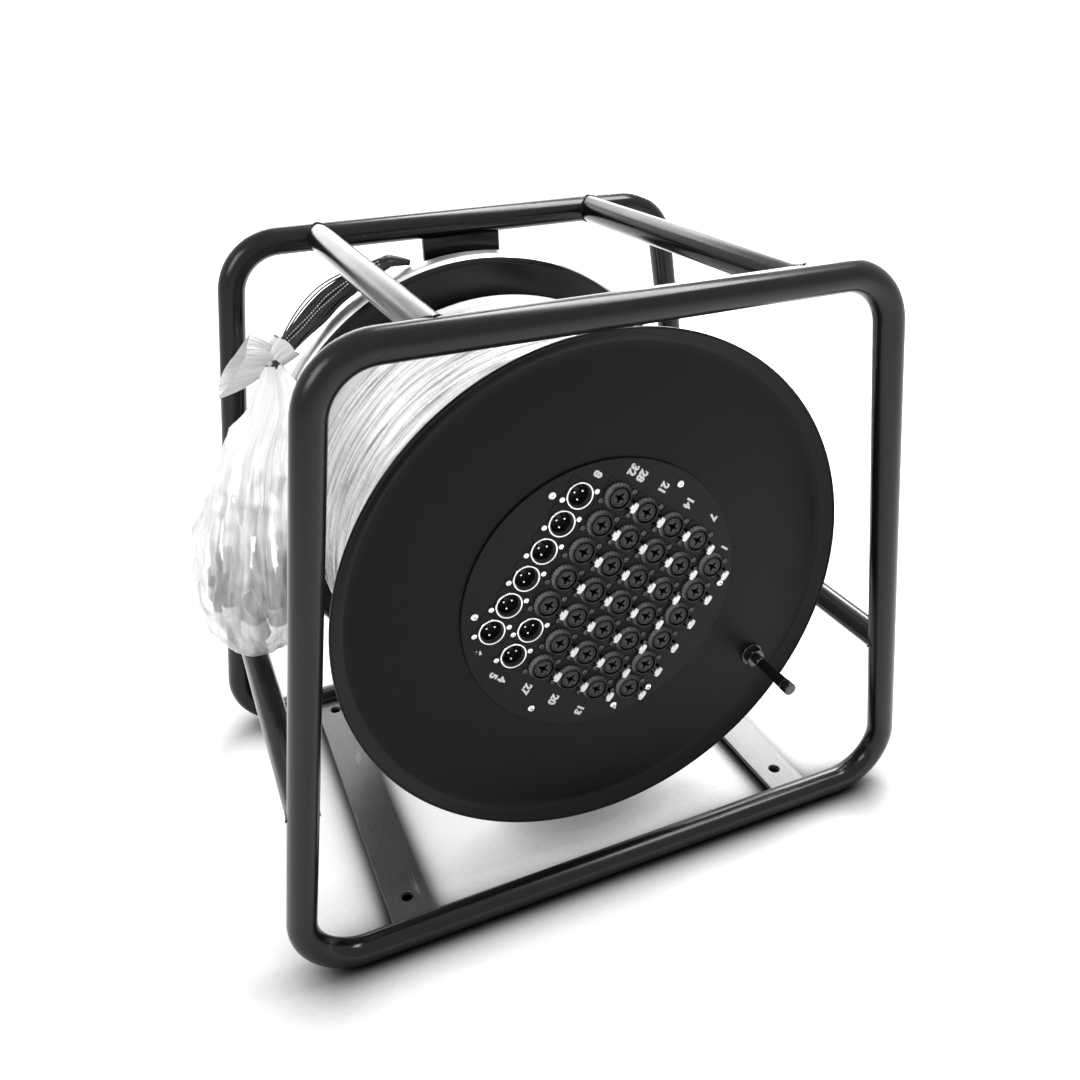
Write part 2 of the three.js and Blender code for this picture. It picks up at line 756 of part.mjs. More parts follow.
function makeGrip() {
  const base = frontFaceFront - fitGap * 2 - crankWasherThickness - crankNutThickness;
  const boreEnd = -gripReach + gripBlind;
  const bore = cutRadius(crankPin / 2 + fitGap, smallSides);
  const ringFront = -gripReach + gripRingInset;
  const outline = [
    [0, -gripReach],
    [gripEnd / 2 - gripGroove, -gripReach],
    [gripEnd / 2, -gripReach + gripGroove],
    [gripEnd / 2, ringFront],
    [gripEnd / 2 - gripGroove, ringFront + gripGroove],
    [gripEnd / 2 - gripGroove, ringFront + gripGroove * 2],
    [gripEnd / 2, ringFront + gripGroove * 3],
    [gripWaist / 2, base - gripFerrule],
    [gripBase / 2, base - gripFerrule + gripGroove],
    [gripBase / 2, base],
    [bore, base],
    [bore, boreEnd],
    [0, boreEnd],
  ];
  const mesh = toMesh(turned(outline, smallSides), 'crank_grip', tailBlack);
  mesh.geometry.translate(crankAcross, 0, crankRise);
  return placeOnDrum(mesh);
}

// The lead lies on the wound tails, then runs straight to the bag's neck
function leadFrames() {
  const leave = THREE.MathUtils.degToRad(leadLeaveAngle);
  const wrap = THREE.MathUtils.degToRad(leadWrap);
  const radius = tailTurnRadius + tailDiameter / 2 + fitGap + leadDiameter / 2;
  const y = rearFlangeFront + rearLipDepth + fitGap + leadDiameter / 2;
  const frames = [];
  for (let i = 0; i <= bendSteps; i += 1) {
    const angle = leave - wrap + (wrap * i) / bendSteps;
    const outward = new THREE.Vector3(Math.cos(angle), 0, Math.sin(angle));
    const centre = outward.clone().multiplyScalar(radius);
    centre.y = y;
    frames.push({ centre, outward });
  }
  const last = frames[frames.length - 1];
  const along = new THREE.Vector3(-Math.sin(leave), 0, Math.cos(leave));
  const end = last.centre.clone().addScaledVector(along, leadRun);
  end.y -= leadForward;
  frames.push({ centre: end, outward: last.outward });
  return { frames, along };
}

function makeLead() {
  const depthAxis = new THREE.Vector3(0, 1, 0);
  const rings = leadFrames().frames.map(({ centre, outward }) => (
    sectionRing(centre, outward, depthAxis, leadDiameter / 2, leadSides)
  ));
  const mesh = toMesh(skinRings(rings, false), 'tail_lead', tailBlack);
  mesh.geometry.translate(0, 0, axleHeight);
  return mesh;
}

// Where the bag is gathered, just past the end of the lead
function bagNeck() {
  const { frames, along } = leadFrames();
  const end = frames[frames.length - 1].centre.clone();
  end.addScaledVector(along, fitGap + bagNeckSize / 2);
  return end;
}

// An oval section of the bag, level or turned up on edge
function bagRing(centre, wide, deep, tilt) {
  const across = new THREE.Vector3(Math.cos(tilt), 0, Math.sin(tilt));
  const depth = new THREE.Vector3(0, 1, 0);
  const ring = [];
  for (let j = 0; j < bagSides; j += 1) {
    const angle = (fullTurn * (j + 0.5)) / bagSides;
    const point = centre.clone();
    point.addScaledVector(across, (Math.cos(angle) * wide) / 2);
    point.addScaledVector(depth, (Math.sin(angle) * deep) / 2);
    ring.push(point);
  }
  return ring;
}

// The gathered mouth of the bag from its end inwards, each row as shares of the flare:
// its reach, rise, width and thickness, then its tilt in degrees
const flareRows = [
  [1, 0.25, 1, 1, 112.5],
  [0.5, 0.2, 0.7, 0.8, 108],
];
const neckTilt = 45;

// The body of the bag from its neck down, each row as shares of the full bag:
// how far down, how far out to the side, how far forward, width and depth
const bagRows = [
  [0.1, 0.3, 0.15, 0.2, 0.2],
  [0.26, 0.75, 0.5, 0.38, 0.42],
  [0.5, 0.92, 0.8, 0.74, 0.78],
  [0.75, 1, 0.97, 0.96, 0.98],
  [0.93, 1, 1, 0.94, 0.96],
  [1, 1, 1, 0.7, 0.74],
];

function makeBag() {
  const neck = bagNeck();
  const railTop = lowerRailHeight + tubeRadius - axleHeight;
  const floor = railTop + fitGap;
  const bodyX = -(windingDiameter / 2 + bagRoom + bagWidth / 2);
  const bodyY = rearFlangeFront - bagSetback - bagDepth / 2 + bagNeckSize;
  const rings = [];
  flareRows.forEach(([reach, rise, wide, thick, tilt]) => {
    const centre = neck.clone();
    centre.x -= bagFlareReach * reach;
    centre.z += bagFlareReach * rise;
    rings.push(bagRing(centre, bagFlareWide * wide, bagFlareThick * thick, THREE.MathUtils.degToRad(tilt)));
  });
  rings.push(bagRing(neck, bagNeckSize, bagNeckSize, THREE.MathUtils.degToRad(neckTilt)));
  bagRows.forEach(([down, out, forward, wide, deep]) => {
    const centre = new THREE.Vector3(
      neck.x + (bodyX - neck.x) * out,
      neck.y + (bodyY - neck.y) * forward,
      neck.z + (floor - neck.z) * down,
    );
    rings.push(bagRing(centre, bagWidth * wide, bagDepth * deep, 0));
  });
  const mesh = toMesh(skinRings(rings, false), 'tail_bag', bagClear);
  mesh.geometry.translate(0, 0, axleHeight);
  return mesh;
}

const group = new THREE.Group();
group.add(makeHoop('front_hoop', -hoopHalfSpacing));
group.add(makeHoop('rear_hoop', hoopHalfSpacing));
group.add(makeTopRail('top_rail_left', -1));
group.add(makeTopRail('top_rail_right', 1));
group.add(makeLowerRail('lower_rail_left', -1));
group.add(makeLowerRail('lower_rail_right', 1));
group.add(makeFloorStrap('floor_strap_left', -1));
group.add(makeFloorStrap('floor_strap_right', 1));
group.add(makeBearingPlate());
group.add(makeAxle());
group.add(makeFrontFlange());
group.add(makeRearFlange());
group.add(makeBarrel());
group.add(makeWeb());
group.add(makeHub());
group.add(makeCableCore());
group.add(makeCableTurns());
group.add(makeTailCore());
group.add(makeTailTurns());
group.add(makePanel());
makeLatches().forEach((latch) => group.add(latch));
group.add(makeCrankStud());
group.add(makeGrip());
group.add(makeLead());
group.add(makeBag());

export default group;
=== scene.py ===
import math

import bpy
import numpy as np
from mathutils import Matrix, Vector, noise
from mathutils.geometry import tessellate_polygon


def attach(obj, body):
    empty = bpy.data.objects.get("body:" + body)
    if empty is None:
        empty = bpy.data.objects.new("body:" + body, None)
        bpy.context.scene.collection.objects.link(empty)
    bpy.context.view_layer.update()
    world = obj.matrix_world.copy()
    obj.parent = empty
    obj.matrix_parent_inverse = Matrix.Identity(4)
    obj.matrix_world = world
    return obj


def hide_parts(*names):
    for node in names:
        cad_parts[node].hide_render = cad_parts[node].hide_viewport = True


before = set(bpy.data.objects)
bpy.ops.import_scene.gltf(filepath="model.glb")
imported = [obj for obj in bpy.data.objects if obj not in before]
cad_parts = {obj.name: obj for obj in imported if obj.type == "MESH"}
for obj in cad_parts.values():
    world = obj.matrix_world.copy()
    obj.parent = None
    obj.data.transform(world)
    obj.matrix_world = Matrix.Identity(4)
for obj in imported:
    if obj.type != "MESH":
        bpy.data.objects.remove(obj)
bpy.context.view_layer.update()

# Sizes in millimetres. They repeat the CAD source, and the details that it leaves out follow them.
MM = 0.001
TUBE = 12.5
HOOP_Y = 182.0
HOOP_HALF_BOTTOM = 304.0
HOOP_HALF_TOP = 222.0
HOOP_LOW = 12.5
HOOP_HIGH = 536.5
HOOP_BEND = 50.0
TOP_RAIL_X = 141.0
LOWER_RAIL_Z = 177.0
STRAP_X = 200.0
STRAP_HALF = 20.0
STRAP_TOP = 12.5
STRAP_THICK = 5.0
PLATE_HALF = 40.0
PLATE_FRONT = 179.0
PLATE_BACK = 185.0
BOSS_BORE = 12.4
AXLE = 12.0
WELD_STEP = 1.9
AXLE_Z = 277.0
REST = math.radians(37.1)
REAR_FACE = 135.0
REAR_BACK = 138.0
PANEL = 128.0
PANEL_FRONT = -140.0
PANEL_BACK = -138.0
FRONT_FACE = -137.7
FRONT_BACK = -134.7
COMBO_PROUD = 5.5
INLET_PROUD = 2.0
SOCKET_HOLE = 11.4
SOCKET_SIDE = 15.4
COLUMN_PITCH = 31.7
ROW_PITCH = 26.7
LATCH_OFFSET = 15.5
LATCH_DROP = 1.5
SCREW_SPOTS = ((12.0, 9.5), (-12.0, -9.5))
SCREW_CIRCLE = 117.0
PIN_CIRCLE = 4.4
PRINT_HIGH = 10.2
CRANK = (192.7, 10.7)
CABLE = 12.5
CABLE_TURN = 191.5
CABLE_PITCH = 26.5
CABLE_LOOPS = 220 / 24
CABLE_END = 25.0
CABLE_FIRST_Y = 0.15 - CABLE_LOOPS * CABLE_PITCH / 2
TAIL_TURN = 238.5
TAIL_DRAW_IN = 7.5
TAIL_SLOPE = 5.9
LEAD_TURN = 246.3
LEAD_Y = 164.8
LEAD_ROOT_TURN = 236.8
LEAD_ROOT = math.radians(104.5)
LEAD_START = math.radians(109)
LEAD_LEAVE = math.radians(125)
LEAD_RUN = 74.0
LEAD_FORWARD = 13.0
CORD_CORE = 4.5
CORD_CORE_START = 1.6


def new_object(name, data):
    thing = bpy.data.objects.new(name, data)
    bpy.context.scene.collection.objects.link(thing)
    return thing


# Camera
def make_camera():
    """The photograph's view: place, turn and lens fitted to the frame's tubes and the flange."""
    azimuth, rise, roll = math.radians(-22.307), math.radians(28.699), math.radians(-1.835)
    level = math.cos(rise)
    look = Vector((-math.sin(azimuth) * level, math.cos(azimuth) * level, -math.sin(rise)))
    right = look.cross(Vector((0, 0, 1))).normalized()
    up = right.cross(look)
    right_turned = right * math.cos(roll) + up * math.sin(roll)
    up_turned = up * math.cos(roll) - right * math.sin(roll)
    data = bpy.data.cameras.new("camera")
    data.sensor_width = 36.0
    data.lens = 31.95
    data.clip_start = 0.02
    data.clip_end = 50.0
    camera = new_object("camera", data)
    turn = Matrix((right_turned, up_turned, -look)).transposed().to_4x4()
    place = Vector((-311.0, -760.0, 714.4)) * MM
    camera.matrix_world = Matrix.Translation(place) @ turn
    bpy.context.scene.camera = camera


make_camera()


# Node and material helpers
def linear(code):
    """An sRGB hex colour as linear red, green, blue and alpha."""
    channels = [int(code[i:i + 2], 16) / 255 for i in (1, 3, 5)]
    return [c / 12.92 if c <= 0.04045 else ((c + 0.055) / 1.055) ** 2.4 for c in channels] + [1.0]


def add_node(tree, kind, settings=None, inputs=None):
    """Adds a node. An input is a plain value, or a pair of a node and its output's name."""
    node = tree.nodes.new(kind)
    for name, value in (settings or {}).items():
        setattr(node, name, value)
    for key, value in (inputs or {}).items():
        if isinstance(value, tuple) and isinstance(value[0], bpy.types.Node):
            tree.links.new(value[0].outputs[value[1]], node.inputs[key])
        else:
            node.inputs[key].default_value = value
    return node


def new_material(name):
    """An empty material with its node tree and its output node."""
    material = bpy.data.materials.new(name)
    material.use_nodes = True
    tree = material.node_tree
    tree.nodes.clear()
    return material, tree


def finish_material(material, looks, height=None, strength=0.0, distance=0.0):
    """Closes a material with a principled shader, and a bump of a height, its distance in metres."""
    tree = material.node_tree
    shader = add_node(tree, "ShaderNodeBsdfPrincipled", inputs=looks)
    if height:
        bump = add_node(tree, "ShaderNodeBump", inputs={
            "Height": height, "Strength": strength, "Distance": distance})
        tree.links.new(bump.outputs["Normal"], shader.inputs["Normal"])
    add_node(tree, "ShaderNodeOutputMaterial", inputs={"Surface": (shader, "BSDF")})
    return material


def per_mm(size):
    """The texture scale, per metre, that gives a pattern of that size in millimetres."""
    return 1000.0 / size


def gloss_powder_coat(name, gloss):
    # Black polyester powder coat, sprayed and baked: a deep gloss with a fine orange peel,
    # and a little dust in the surface
    material, tree = new_material(name)
    place = add_node(tree, "ShaderNodeTexCoord")
    peel = add_node(tree, "ShaderNodeTexNoise", inputs={
        "Vector": (place, "Object"), "Scale": per_mm(3.2), "Detail": 1.5, "Roughness": 0.4})
    cloud = add_node(tree, "ShaderNodeTexNoise", inputs={
        "Vector": (place, "Object"), "Scale": per_mm(70), "Detail": 4.0})
    speck = add_node(tree, "ShaderNodeTexVoronoi", inputs={
        "Vector": (place, "Object"), "Scale": per_mm(14), "Randomness": 1.0})
    dust = add_node(tree, "ShaderNodeMapRange", inputs={
        "Value": (speck, "Distance"), "From Min": 0.035, "From Max": 0.05, "To Min": 1.0, "To Max": 0.0})
    colour = add_node(tree, "ShaderNodeMix", {"data_type": "RGBA"}, {
        "Factor": (dust, "Result"), 6: linear("#0b0b0c"), 7: linear("#38383a")})
    rough = add_node(tree, "ShaderNodeMapRange", inputs={
        "Value": (cloud, "Fac"), "From Min": 0.35, "From Max": 0.7, "To Min": 0.17, "To Max": 0.26})
    return finish_material(material, {
        "Base Color": (colour, 2), "Roughness": (rough, "Result"), "IOR": 1.5,
        "Specular IOR Level": gloss}, (peel, "Fac"), 0.06, 0.0004)


def satin_drum_paint():
    # Black drum paint on sheet steel, rolled out flat: a fine satin grit and soft clouds of gloss
    material, tree = new_material("satin_drum_paint_black")
    place = add_node(tree, "ShaderNodeTexCoord")
    grit = add_node(tree, "ShaderNodeTexNoise", inputs={
        "Vector": (place, "Object"), "Scale": per_mm(1.1), "Detail": 2.0})
    cloud = add_node(tree, "ShaderNodeTexNoise", inputs={
        "Vector": (place, "Object"), "Scale": per_mm(120), "Detail": 5.0, "Roughness": 0.6})
    colour = add_node(tree, "ShaderNodeMix", {"data_type": "RGBA"}, {
        "Factor": (cloud, "Fac"), 6: linear("#0a0a0b"), 7: linear("#131314")})
    rough = add_node(tree, "ShaderNodeMapRange", inputs={
        "Value": (cloud, "Fac"), "From Min": 0.3, "From Max": 0.7, "To Min": 0.36, "To Max": 0.46})
    return finish_material(material, {
        "Base Color": (colour, 2), "Roughness": (rough, "Result"), "IOR": 1.45,
        "Specular IOR Level": 0.12}, (grit, "Fac"), 0.12, 0.0002)


def scuffed_bar_paint():
    # Thin black paint on hot rolled flat bar: mill grain along the bar, scratches that show steel
    material, tree = new_material("scuffed_bar_paint_black")
    place = add_node(tree, "ShaderNodeTexCoord")
    stretch = add_node(tree, "ShaderNodeMapping", inputs={
        "Vector": (place, "Object"), "Scale": (1.0, 0.12, 1.0)})
    grain = add_node(tree, "ShaderNodeTexNoise", inputs={
        "Vector": (stretch, "Vector"), "Scale": per_mm(2.4), "Detail": 6.0, "Roughness": 0.7})
    mark = add_node(tree, "ShaderNodeTexNoise", inputs={
        "Vector": (stretch, "Vector"), "Scale": per_mm(9), "Detail": 3.0, "Distortion": 0.6})
    worn = add_node(tree, "ShaderNodeMapRange", inputs={
        "Value": (mark, "Fac"), "From Min": 0.66, "From Max": 0.74, "To Min": 0.0, "To Max": 0.8})
    ground = add_node(tree, "ShaderNodeMix", {"data_type": "RGBA"}, {
        "Factor": (grain, "Fac"), 6: linear("#2b2b2c"), 7: linear("#5a5a5b")})
    colour = add_node(tree, "ShaderNodeMix", {"data_type": "RGBA"}, {
        "Factor": (worn, "Result"), 6: (ground, 2), 7: linear("#8f8f90")})
    return finish_material(material, {"Base Color": (colour, 2), "Roughness": 0.3, "IOR": 1.5},
                           (grain, "Fac"), 0.25, 0.0003)


def moulded_socket_black(name, dark, pale, roughness, gloss=0.5):
    # Glass filled polyamide, injection moulded: black with a fine spark-eroded texture
    material, tree = new_material(name)
    place = add_node(tree, "ShaderNodeTexCoord")
    spark = add_node(tree, "ShaderNodeTexNoise", inputs={
        "Vector": (place, "Object"), "Scale": per_mm(0.5), "Detail": 3.0})
    cloud = add_node(tree, "ShaderNodeTexNoise", inputs={
        "Vector": (place, "Object"), "Scale": per_mm(18), "Detail": 2.0})
    colour = add_node(tree, "ShaderNodeMix", {"data_type": "RGBA"}, {
        "Factor": (cloud, "Fac"), 6: linear(dark), 7: linear(pale)})
    return finish_material(material, {
        "Base Color": (colour, 2), "Roughness": roughness, "IOR": 1.53, "Specular IOR Level": gloss},
        (spark, "Fac"), 0.2, 0.0001)


def plated_metal(name, pale, dark, low, high, grain):
    # Plated or turned metal: a clean bright skin with faint tool lines and handling haze
    material, tree = new_material(name)
    place = add_node(tree, "ShaderNodeTexCoord")
    haze = add_node(tree, "ShaderNodeTexNoise", inputs={
        "Vector": (place, "Object"), "Scale": per_mm(grain * 8), "Detail": 5.0})
    fine = add_node(tree, "ShaderNodeTexNoise", inputs={
        "Vector": (place, "Object"), "Scale": per_mm(grain), "Detail": 2.0})
    colour = add_node(tree, "ShaderNodeMix", {"data_type": "RGBA"}, {
        "Factor": (haze, "Fac"), 6: linear(pale), 7: linear(dark)})
    rough = add_node(tree, "ShaderNodeMapRange", inputs={
        "Value": (haze, "Fac"), "From Min": 0.3, "From Max": 0.7, "To Min": low, "To Max": high})
    return finish_material(material, {
        "Base Color": (colour, 2), "Metallic": 1.0, "Roughness": (rough, "Result")},
        (fine, "Fac"), 0.1, 0.0001)


def film_over_jacket():
    # Pale PVC cable under stretched clear film: long streaks in its bump where the film pulls along the
    # turn, fine crimps across it, and bright gloss. The pale and dark streaks in its colour are painted
    # highlight and painted shade along the turns, over the jacket's pale grey. It follows the cable by
    # its UV map, in metres along the cable and in turns round it.
    material, tree = new_material("stretch_film_over_pale_jacket")
    along = add_node(tree, "ShaderNodeUVMap", {"uv_map": "UVMap"})
    long_scale = add_node(tree, "ShaderNodeMapping", inputs={
        "Vector": (along, "UV"), "Scale": (9.0, 14.0, 1.0), "Rotation": (0, 0, 0.05)})
    streak = add_node(tree, "ShaderNodeTexNoise", inputs={
        "Vector": (long_scale, "Vector"), "Scale": 1.0, "Detail": 6.0, "Roughness": 0.62,
        "Distortion": 0.5})
    cross_scale = add_node(tree, "ShaderNodeMapping", inputs={
        "Vector": (along, "UV"), "Scale": (260.0, 3.0, 1.0)})
    crimp = add_node(tree, "ShaderNodeTexNoise", inputs={
        "Vector": (cross_scale, "Vector"), "Scale": 1.0, "Detail": 4.0, "Distortion": 0.8})
    crimp_low = add_node(tree, "ShaderNodeMath", {"operation": "MULTIPLY"}, {
        0: (crimp, "Fac"), 1: 0.35})
    height = add_node(tree, "ShaderNodeMath", {"operation": "ADD"}, {
        0: (streak, "Fac"), 1: (crimp_low, "Value")})
    pale = add_node(tree, "ShaderNodeMapRange", inputs={
        "Value": (streak, "Fac"), "From Min": 0.34, "From Max": 0.56, "To Min": 0.0, "To Max": 1.0})
    ground = add_node(tree, "ShaderNodeMix", {"data_type": "RGBA"}, {
        "Factor": (pale, "Result"), 6: linear("#808182"), 7: linear("#e6e6e6")})
    fine_scale = add_node(tree, "ShaderNodeMapping", inputs={
        "Vector": (along, "UV"), "Scale": (16.0, 46.0, 1.0), "Rotation": (0, 0, 0.08)})
    fine = add_node(tree, "ShaderNodeTexNoise", inputs={
        "Vector": (fine_scale, "Vector"), "Scale": 1.0, "Detail": 4.0, "Roughness": 0.7,
        "Distortion": 0.9})
    # Thin dark streaks in the colour: painted shade
    painted_shade = add_node(tree, "ShaderNodeMapRange", inputs={
        "Value": (fine, "Fac"), "From Min": 0.33, "From Max": 0.46, "To Min": 0.85, "To Max": 0.0})
    colour = add_node(tree, "ShaderNodeMix", {"data_type": "RGBA"}, {
        "Factor": (painted_shade, "Result"), 6: (ground, 2), 7: linear("#5c5d5e")})
    rough = add_node(tree, "ShaderNodeMapRange", inputs={
        "Value": (crimp, "Fac"), "From Min": 0.3, "From Max": 0.7, "To Min": 0.14, "To Max": 0.34})
    return finish_material(material, {
        "Base Color": (colour, 2), "Roughness": (rough, "Result"), "IOR": 1.5, "Coat Weight": 0.5,
        "Coat Roughness": 0.08}, (height, "Value"), 0.55, 0.0016)


def extruded_jacket(name, dark, pale, roughness, size):
    # Extruded PVC or rubber jacket: even colour, faint draw lines and scuffs
    material, tree = new_material(name)
    place = add_node(tree, "ShaderNodeTexCoord")
    scuff = add_node(tree, "ShaderNodeTexNoise", inputs={
        "Vector": (place, "Object"), "Scale": per_mm(size), "Detail": 5.0, "Roughness": 0.6})
    fine = add_node(tree, "ShaderNodeTexNoise", inputs={
        "Vector": (place, "Object"), "Scale": per_mm(0.8), "Detail": 2.0})
    colour = add_node(tree, "ShaderNodeMix", {"data_type": "RGBA"}, {
        "Factor": (scuff, "Fac"), 6: linear(dark), 7: linear(pale)})
    return finish_material(material, {"Base Color": (colour, 2), "Roughness": roughness, "IOR": 1.5},
                           (fine, "Fac"), 0.12, 0.0002)


def clear_polythene():
    # Thin blown polythene bag: milky where it is gathered, clearer where it hangs in one layer,
    # with bright creases. The streaks run down the bag, along its UV map, in metres.
    material, tree = new_material("blown_polythene_film_clear")
    along = add_node(tree, "ShaderNodeUVMap", {"uv_map": "UVMap"})
    split = add_node(tree, "ShaderNodeSeparateXYZ", inputs={"Vector": (along, "UV")})
    long_scale = add_node(tree, "ShaderNodeMapping", inputs={
        "Vector": (along, "UV"), "Scale": (17.0, 7.0, 1.0), "Rotation": (0, 0, 0.15)})
    fold = add_node(tree, "ShaderNodeTexNoise", inputs={
        "Vector": (long_scale, "Vector"), "Scale": 1.0, "Detail": 5.0, "Roughness": 0.55,
        "Distortion": 2.2})
    crease_scale = add_node(tree, "ShaderNodeMapping", inputs={
        "Vector": (along, "UV"), "Scale": (16.0, 7.0, 1.0), "Rotation": (0, 0, 0.5)})
    crease = add_node(tree, "ShaderNodeTexNoise", inputs={
        "Vector": (crease_scale, "Vector"), "Scale": 1.0, "Detail": 1.0, "Roughness": 0.5,
        "Distortion": 0.8})
    middle = add_node(tree, "ShaderNodeMath", {"operation": "SUBTRACT"}, {0: (crease, "Fac"), 1: 0.5})
    apart = add_node(tree, "ShaderNodeMath", {"operation": "ABSOLUTE"}, {0: (middle, "Value")})
    line = add_node(tree, "ShaderNodeMapRange", inputs={
        "Value": (apart, "Value"), "From Min": 0.0, "From Max": 0.012, "To Min": 0.22, "To Max": 0.0})
    floor = add_node(tree, "ShaderNodeMapRange", {"interpolation_type": "SMOOTHSTEP"}, {
        "Value": (split, "Y"), "From Min": 0.02, "From Max": 0.17, "To Min": 0.92, "To Max": 0.24})
    streak = add_node(tree, "ShaderNodeMapRange", inputs={
        "Value": (fold, "Fac"), "From Min": 0.4, "From Max": 0.64, "To Min": 0.0, "To Max": 0.9})
    streaked = add_node(tree, "ShaderNodeMath", {"operation": "MULTIPLY"}, {
        0: (streak, "Result"), 1: (floor, "Result")})
    milk = add_node(tree, "ShaderNodeMath", {"operation": "ADD"}, {
        0: (floor, "Result"), 1: (streaked, "Value")})
    rim = add_node(tree, "ShaderNodeLayerWeight", inputs={"Blend": 0.25})
    turned = add_node(tree, "ShaderNodeMath", {"operation": "MULTIPLY"}, {0: (rim, "Facing"), 1: 0.7})
    marked = add_node(tree, "ShaderNodeMath", {"operation": "ADD"}, {
        0: (milk, "Value"), 1: (line, "Result")})
    total = add_node(tree, "ShaderNodeMath", {"operation": "ADD", "use_clamp": True}, {
        0: (marked, "Value"), 1: (turned, "Value")})
    height = add_node(tree, "ShaderNodeMath", {"operation": "ADD"}, {0: (fold, "Fac"), 1: (line, "Result")})
    return finish_material(material, {
        "Base Color": linear("#f8f8f9"), "Roughness": 0.2, "Alpha": (total, "Value"), "IOR": 1.5},
        (height, "Value"), 0.8, 0.003)


def printed_ink():
    # White screen print: a thin, slightly uneven layer of ink
    material, tree = new_material("screen_print_ink_white")
    place = add_node(tree, "ShaderNodeTexCoord")
    thin = add_node(tree, "ShaderNodeTexNoise", inputs={
        "Vector": (place, "Object"), "Scale": per_mm(0.6), "Detail": 2.0})
    colour = add_node(tree, "ShaderNodeMix", {"data_type": "RGBA"}, {
        "Factor": (thin, "Fac"), 6: linear("#dadada"), 7: linear("#f8f8f8")})
    return finish_material(material, {"Base Color": (colour, 2), "Roughness": 0.5})


POWDER = gloss_powder_coat("gloss_powder_coat_black", 0.27)
RIM_COAT = gloss_powder_coat("gloss_rim_coat_black", 0.13)
DRUM_PAINT = satin_drum_paint()
BAR_PAINT = scuffed_bar_paint()
SOCKET_BLACK = moulded_socket_black("moulded_polyamide_black", "#0e0e0f", "#19191a", 0.36, 0.4)
INSERT_BLACK = moulded_socket_black("moulded_polyamide_insert_black", "#101011", "#1e1e20", 0.3, 0.3)
# The barrels' sides are the same black polyamide as their faces; their paler grey is painted light on the
# sides
BARREL_SIDE_PAINTED_LIGHT = moulded_socket_black("moulded_polyamide_sides_painted_light", "#5e5e62", "#929296", 0.26, 0.9)
PANEL_BLACK = moulded_socket_black("anodised_panel_black", "#0a0a0b", "#121213", 0.42, 0.12)
GRIP_BLACK = moulded_socket_black("turned_acetal_black", "#0b0b0c", "#131314", 0.22)
LATCH_METAL = plated_metal("satin_zinc_latch_casting", "#c9c8c6", "#a3a2a0", 0.34, 0.46, 0.6)
BRIGHT_NICKEL = plated_metal("bright_nickel_plate", "#e9e9e8", "#d2d1cf", 0.12, 0.22, 0.5)
DARK_SCREW = plated_metal("black_oxide_screw_steel", "#5f5f62", "#363638", 0.24, 0.36, 0.5)
# The lip's pale plated metal also stands for a painted highlight along the lip
LIP_ZINC_AND_HIGHLIGHT = plated_metal("zinc_plated_lip_painted_highlight", "#dcdcda", "#bcbcba", 0.3, 0.45, 1.2)
ZINC = plated_metal("zinc_plated_steel", "#b9bbbd", "#8f9193", 0.28, 0.42, 0.9)
FILM_CABLE = film_over_jacket()
BARE_CABLE = extruded_jacket("extruded_pvc_jacket_pale", "#b2b2b3", "#d0d0d1", 0.42, 40)
INNER_CABLE = extruded_jacket("inner_cable_layers_shaded", "#3c3c3d", "#58585a", 0.6, 12)
TAIL_BLACK = extruded_jacket("extruded_rubber_jacket_black", "#0c0c0d", "#1a1a1b", 0.36, 10)
# The tails' ends in the bag are paler than the black tails outside it: partly a pale sleeve, partly painted
# light through the film
TAIL_ENDS_PALE_AND_LIT = extruded_jacket("tail_end_sleeve_pale_and_painted_light", "#b4b4b6", "#e2e2e3", 0.5, 3)
COVER_WHITE = extruded_jacket("moulded_dust_cap_white", "#d9d9da", "#f4f4f4", 0.34, 8)
POLYTHENE = clear_polythene()
INK = printed_ink()


# Mesh helpers
def on_drum(across, depth, up):
    """A point given on the drum, in millimetres, at the drum's rest angle."""
    x = across * math.cos(REST) + up * math.sin(REST)
    z = up * math.cos(REST) - across * math.sin(REST) + AXLE_Z
    return (x, depth, z)


def finish_mesh(mesh, angle):
    """Smooth shading, with edges sharper than the angle kept sharp."""
    mesh.update()
    mesh.validate()
    mesh.shade_smooth()
    mesh.set_sharp_from_angle(angle=math.radians(angle))


def riding_piece(name, mesh, body):
    piece = new_object(name, mesh)
    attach(piece, body)
    return piece


def make_piece(name, points, faces, material, body, slot, uvs=None, angle=35, marks=None):
    """A piece from points in millimetres. marks gives each face its place in a list of materials."""
    mesh = bpy.data.meshes.new(name)
    mesh.from_pydata((np.asarray(points, float) * MM).tolist(), [], faces)
    for entry in material if isinstance(material, list) else [material]:
        mesh.materials.append(entry)
    if marks is not None:
        mesh.polygons.foreach_set("material_index", marks)
    if uvs is not None:
        layer = mesh.uv_layers.new(name="UVMap")
        layer.data.foreach_set("uv", np.asarray(uvs, np.float32).ravel())
    finish_mesh(mesh, angle)
    return riding_piece(name, mesh, body)


def ring_faces(rings, steps, joined=False):
    """Quads between rings of points. Joined rings also close from the last to the first."""
    faces = []
    for i in range(rings if joined else rings - 1):
        here, after = i * steps, ((i + 1) % rings) * steps
        for j in range(steps):
            side = (j + 1) % steps
            faces.append((here + j, here + side, after + side, after + j))
    return faces


def cap_faces(middle, start, steps, turned):
    """Triangles from a middle point to the ring that begins at start."""
    faces = []
    for j in range(steps):
        here, after = start + j, start + (j + 1) % steps
        faces.append((middle, after, here) if turned else (middle, here, after))
    return faces


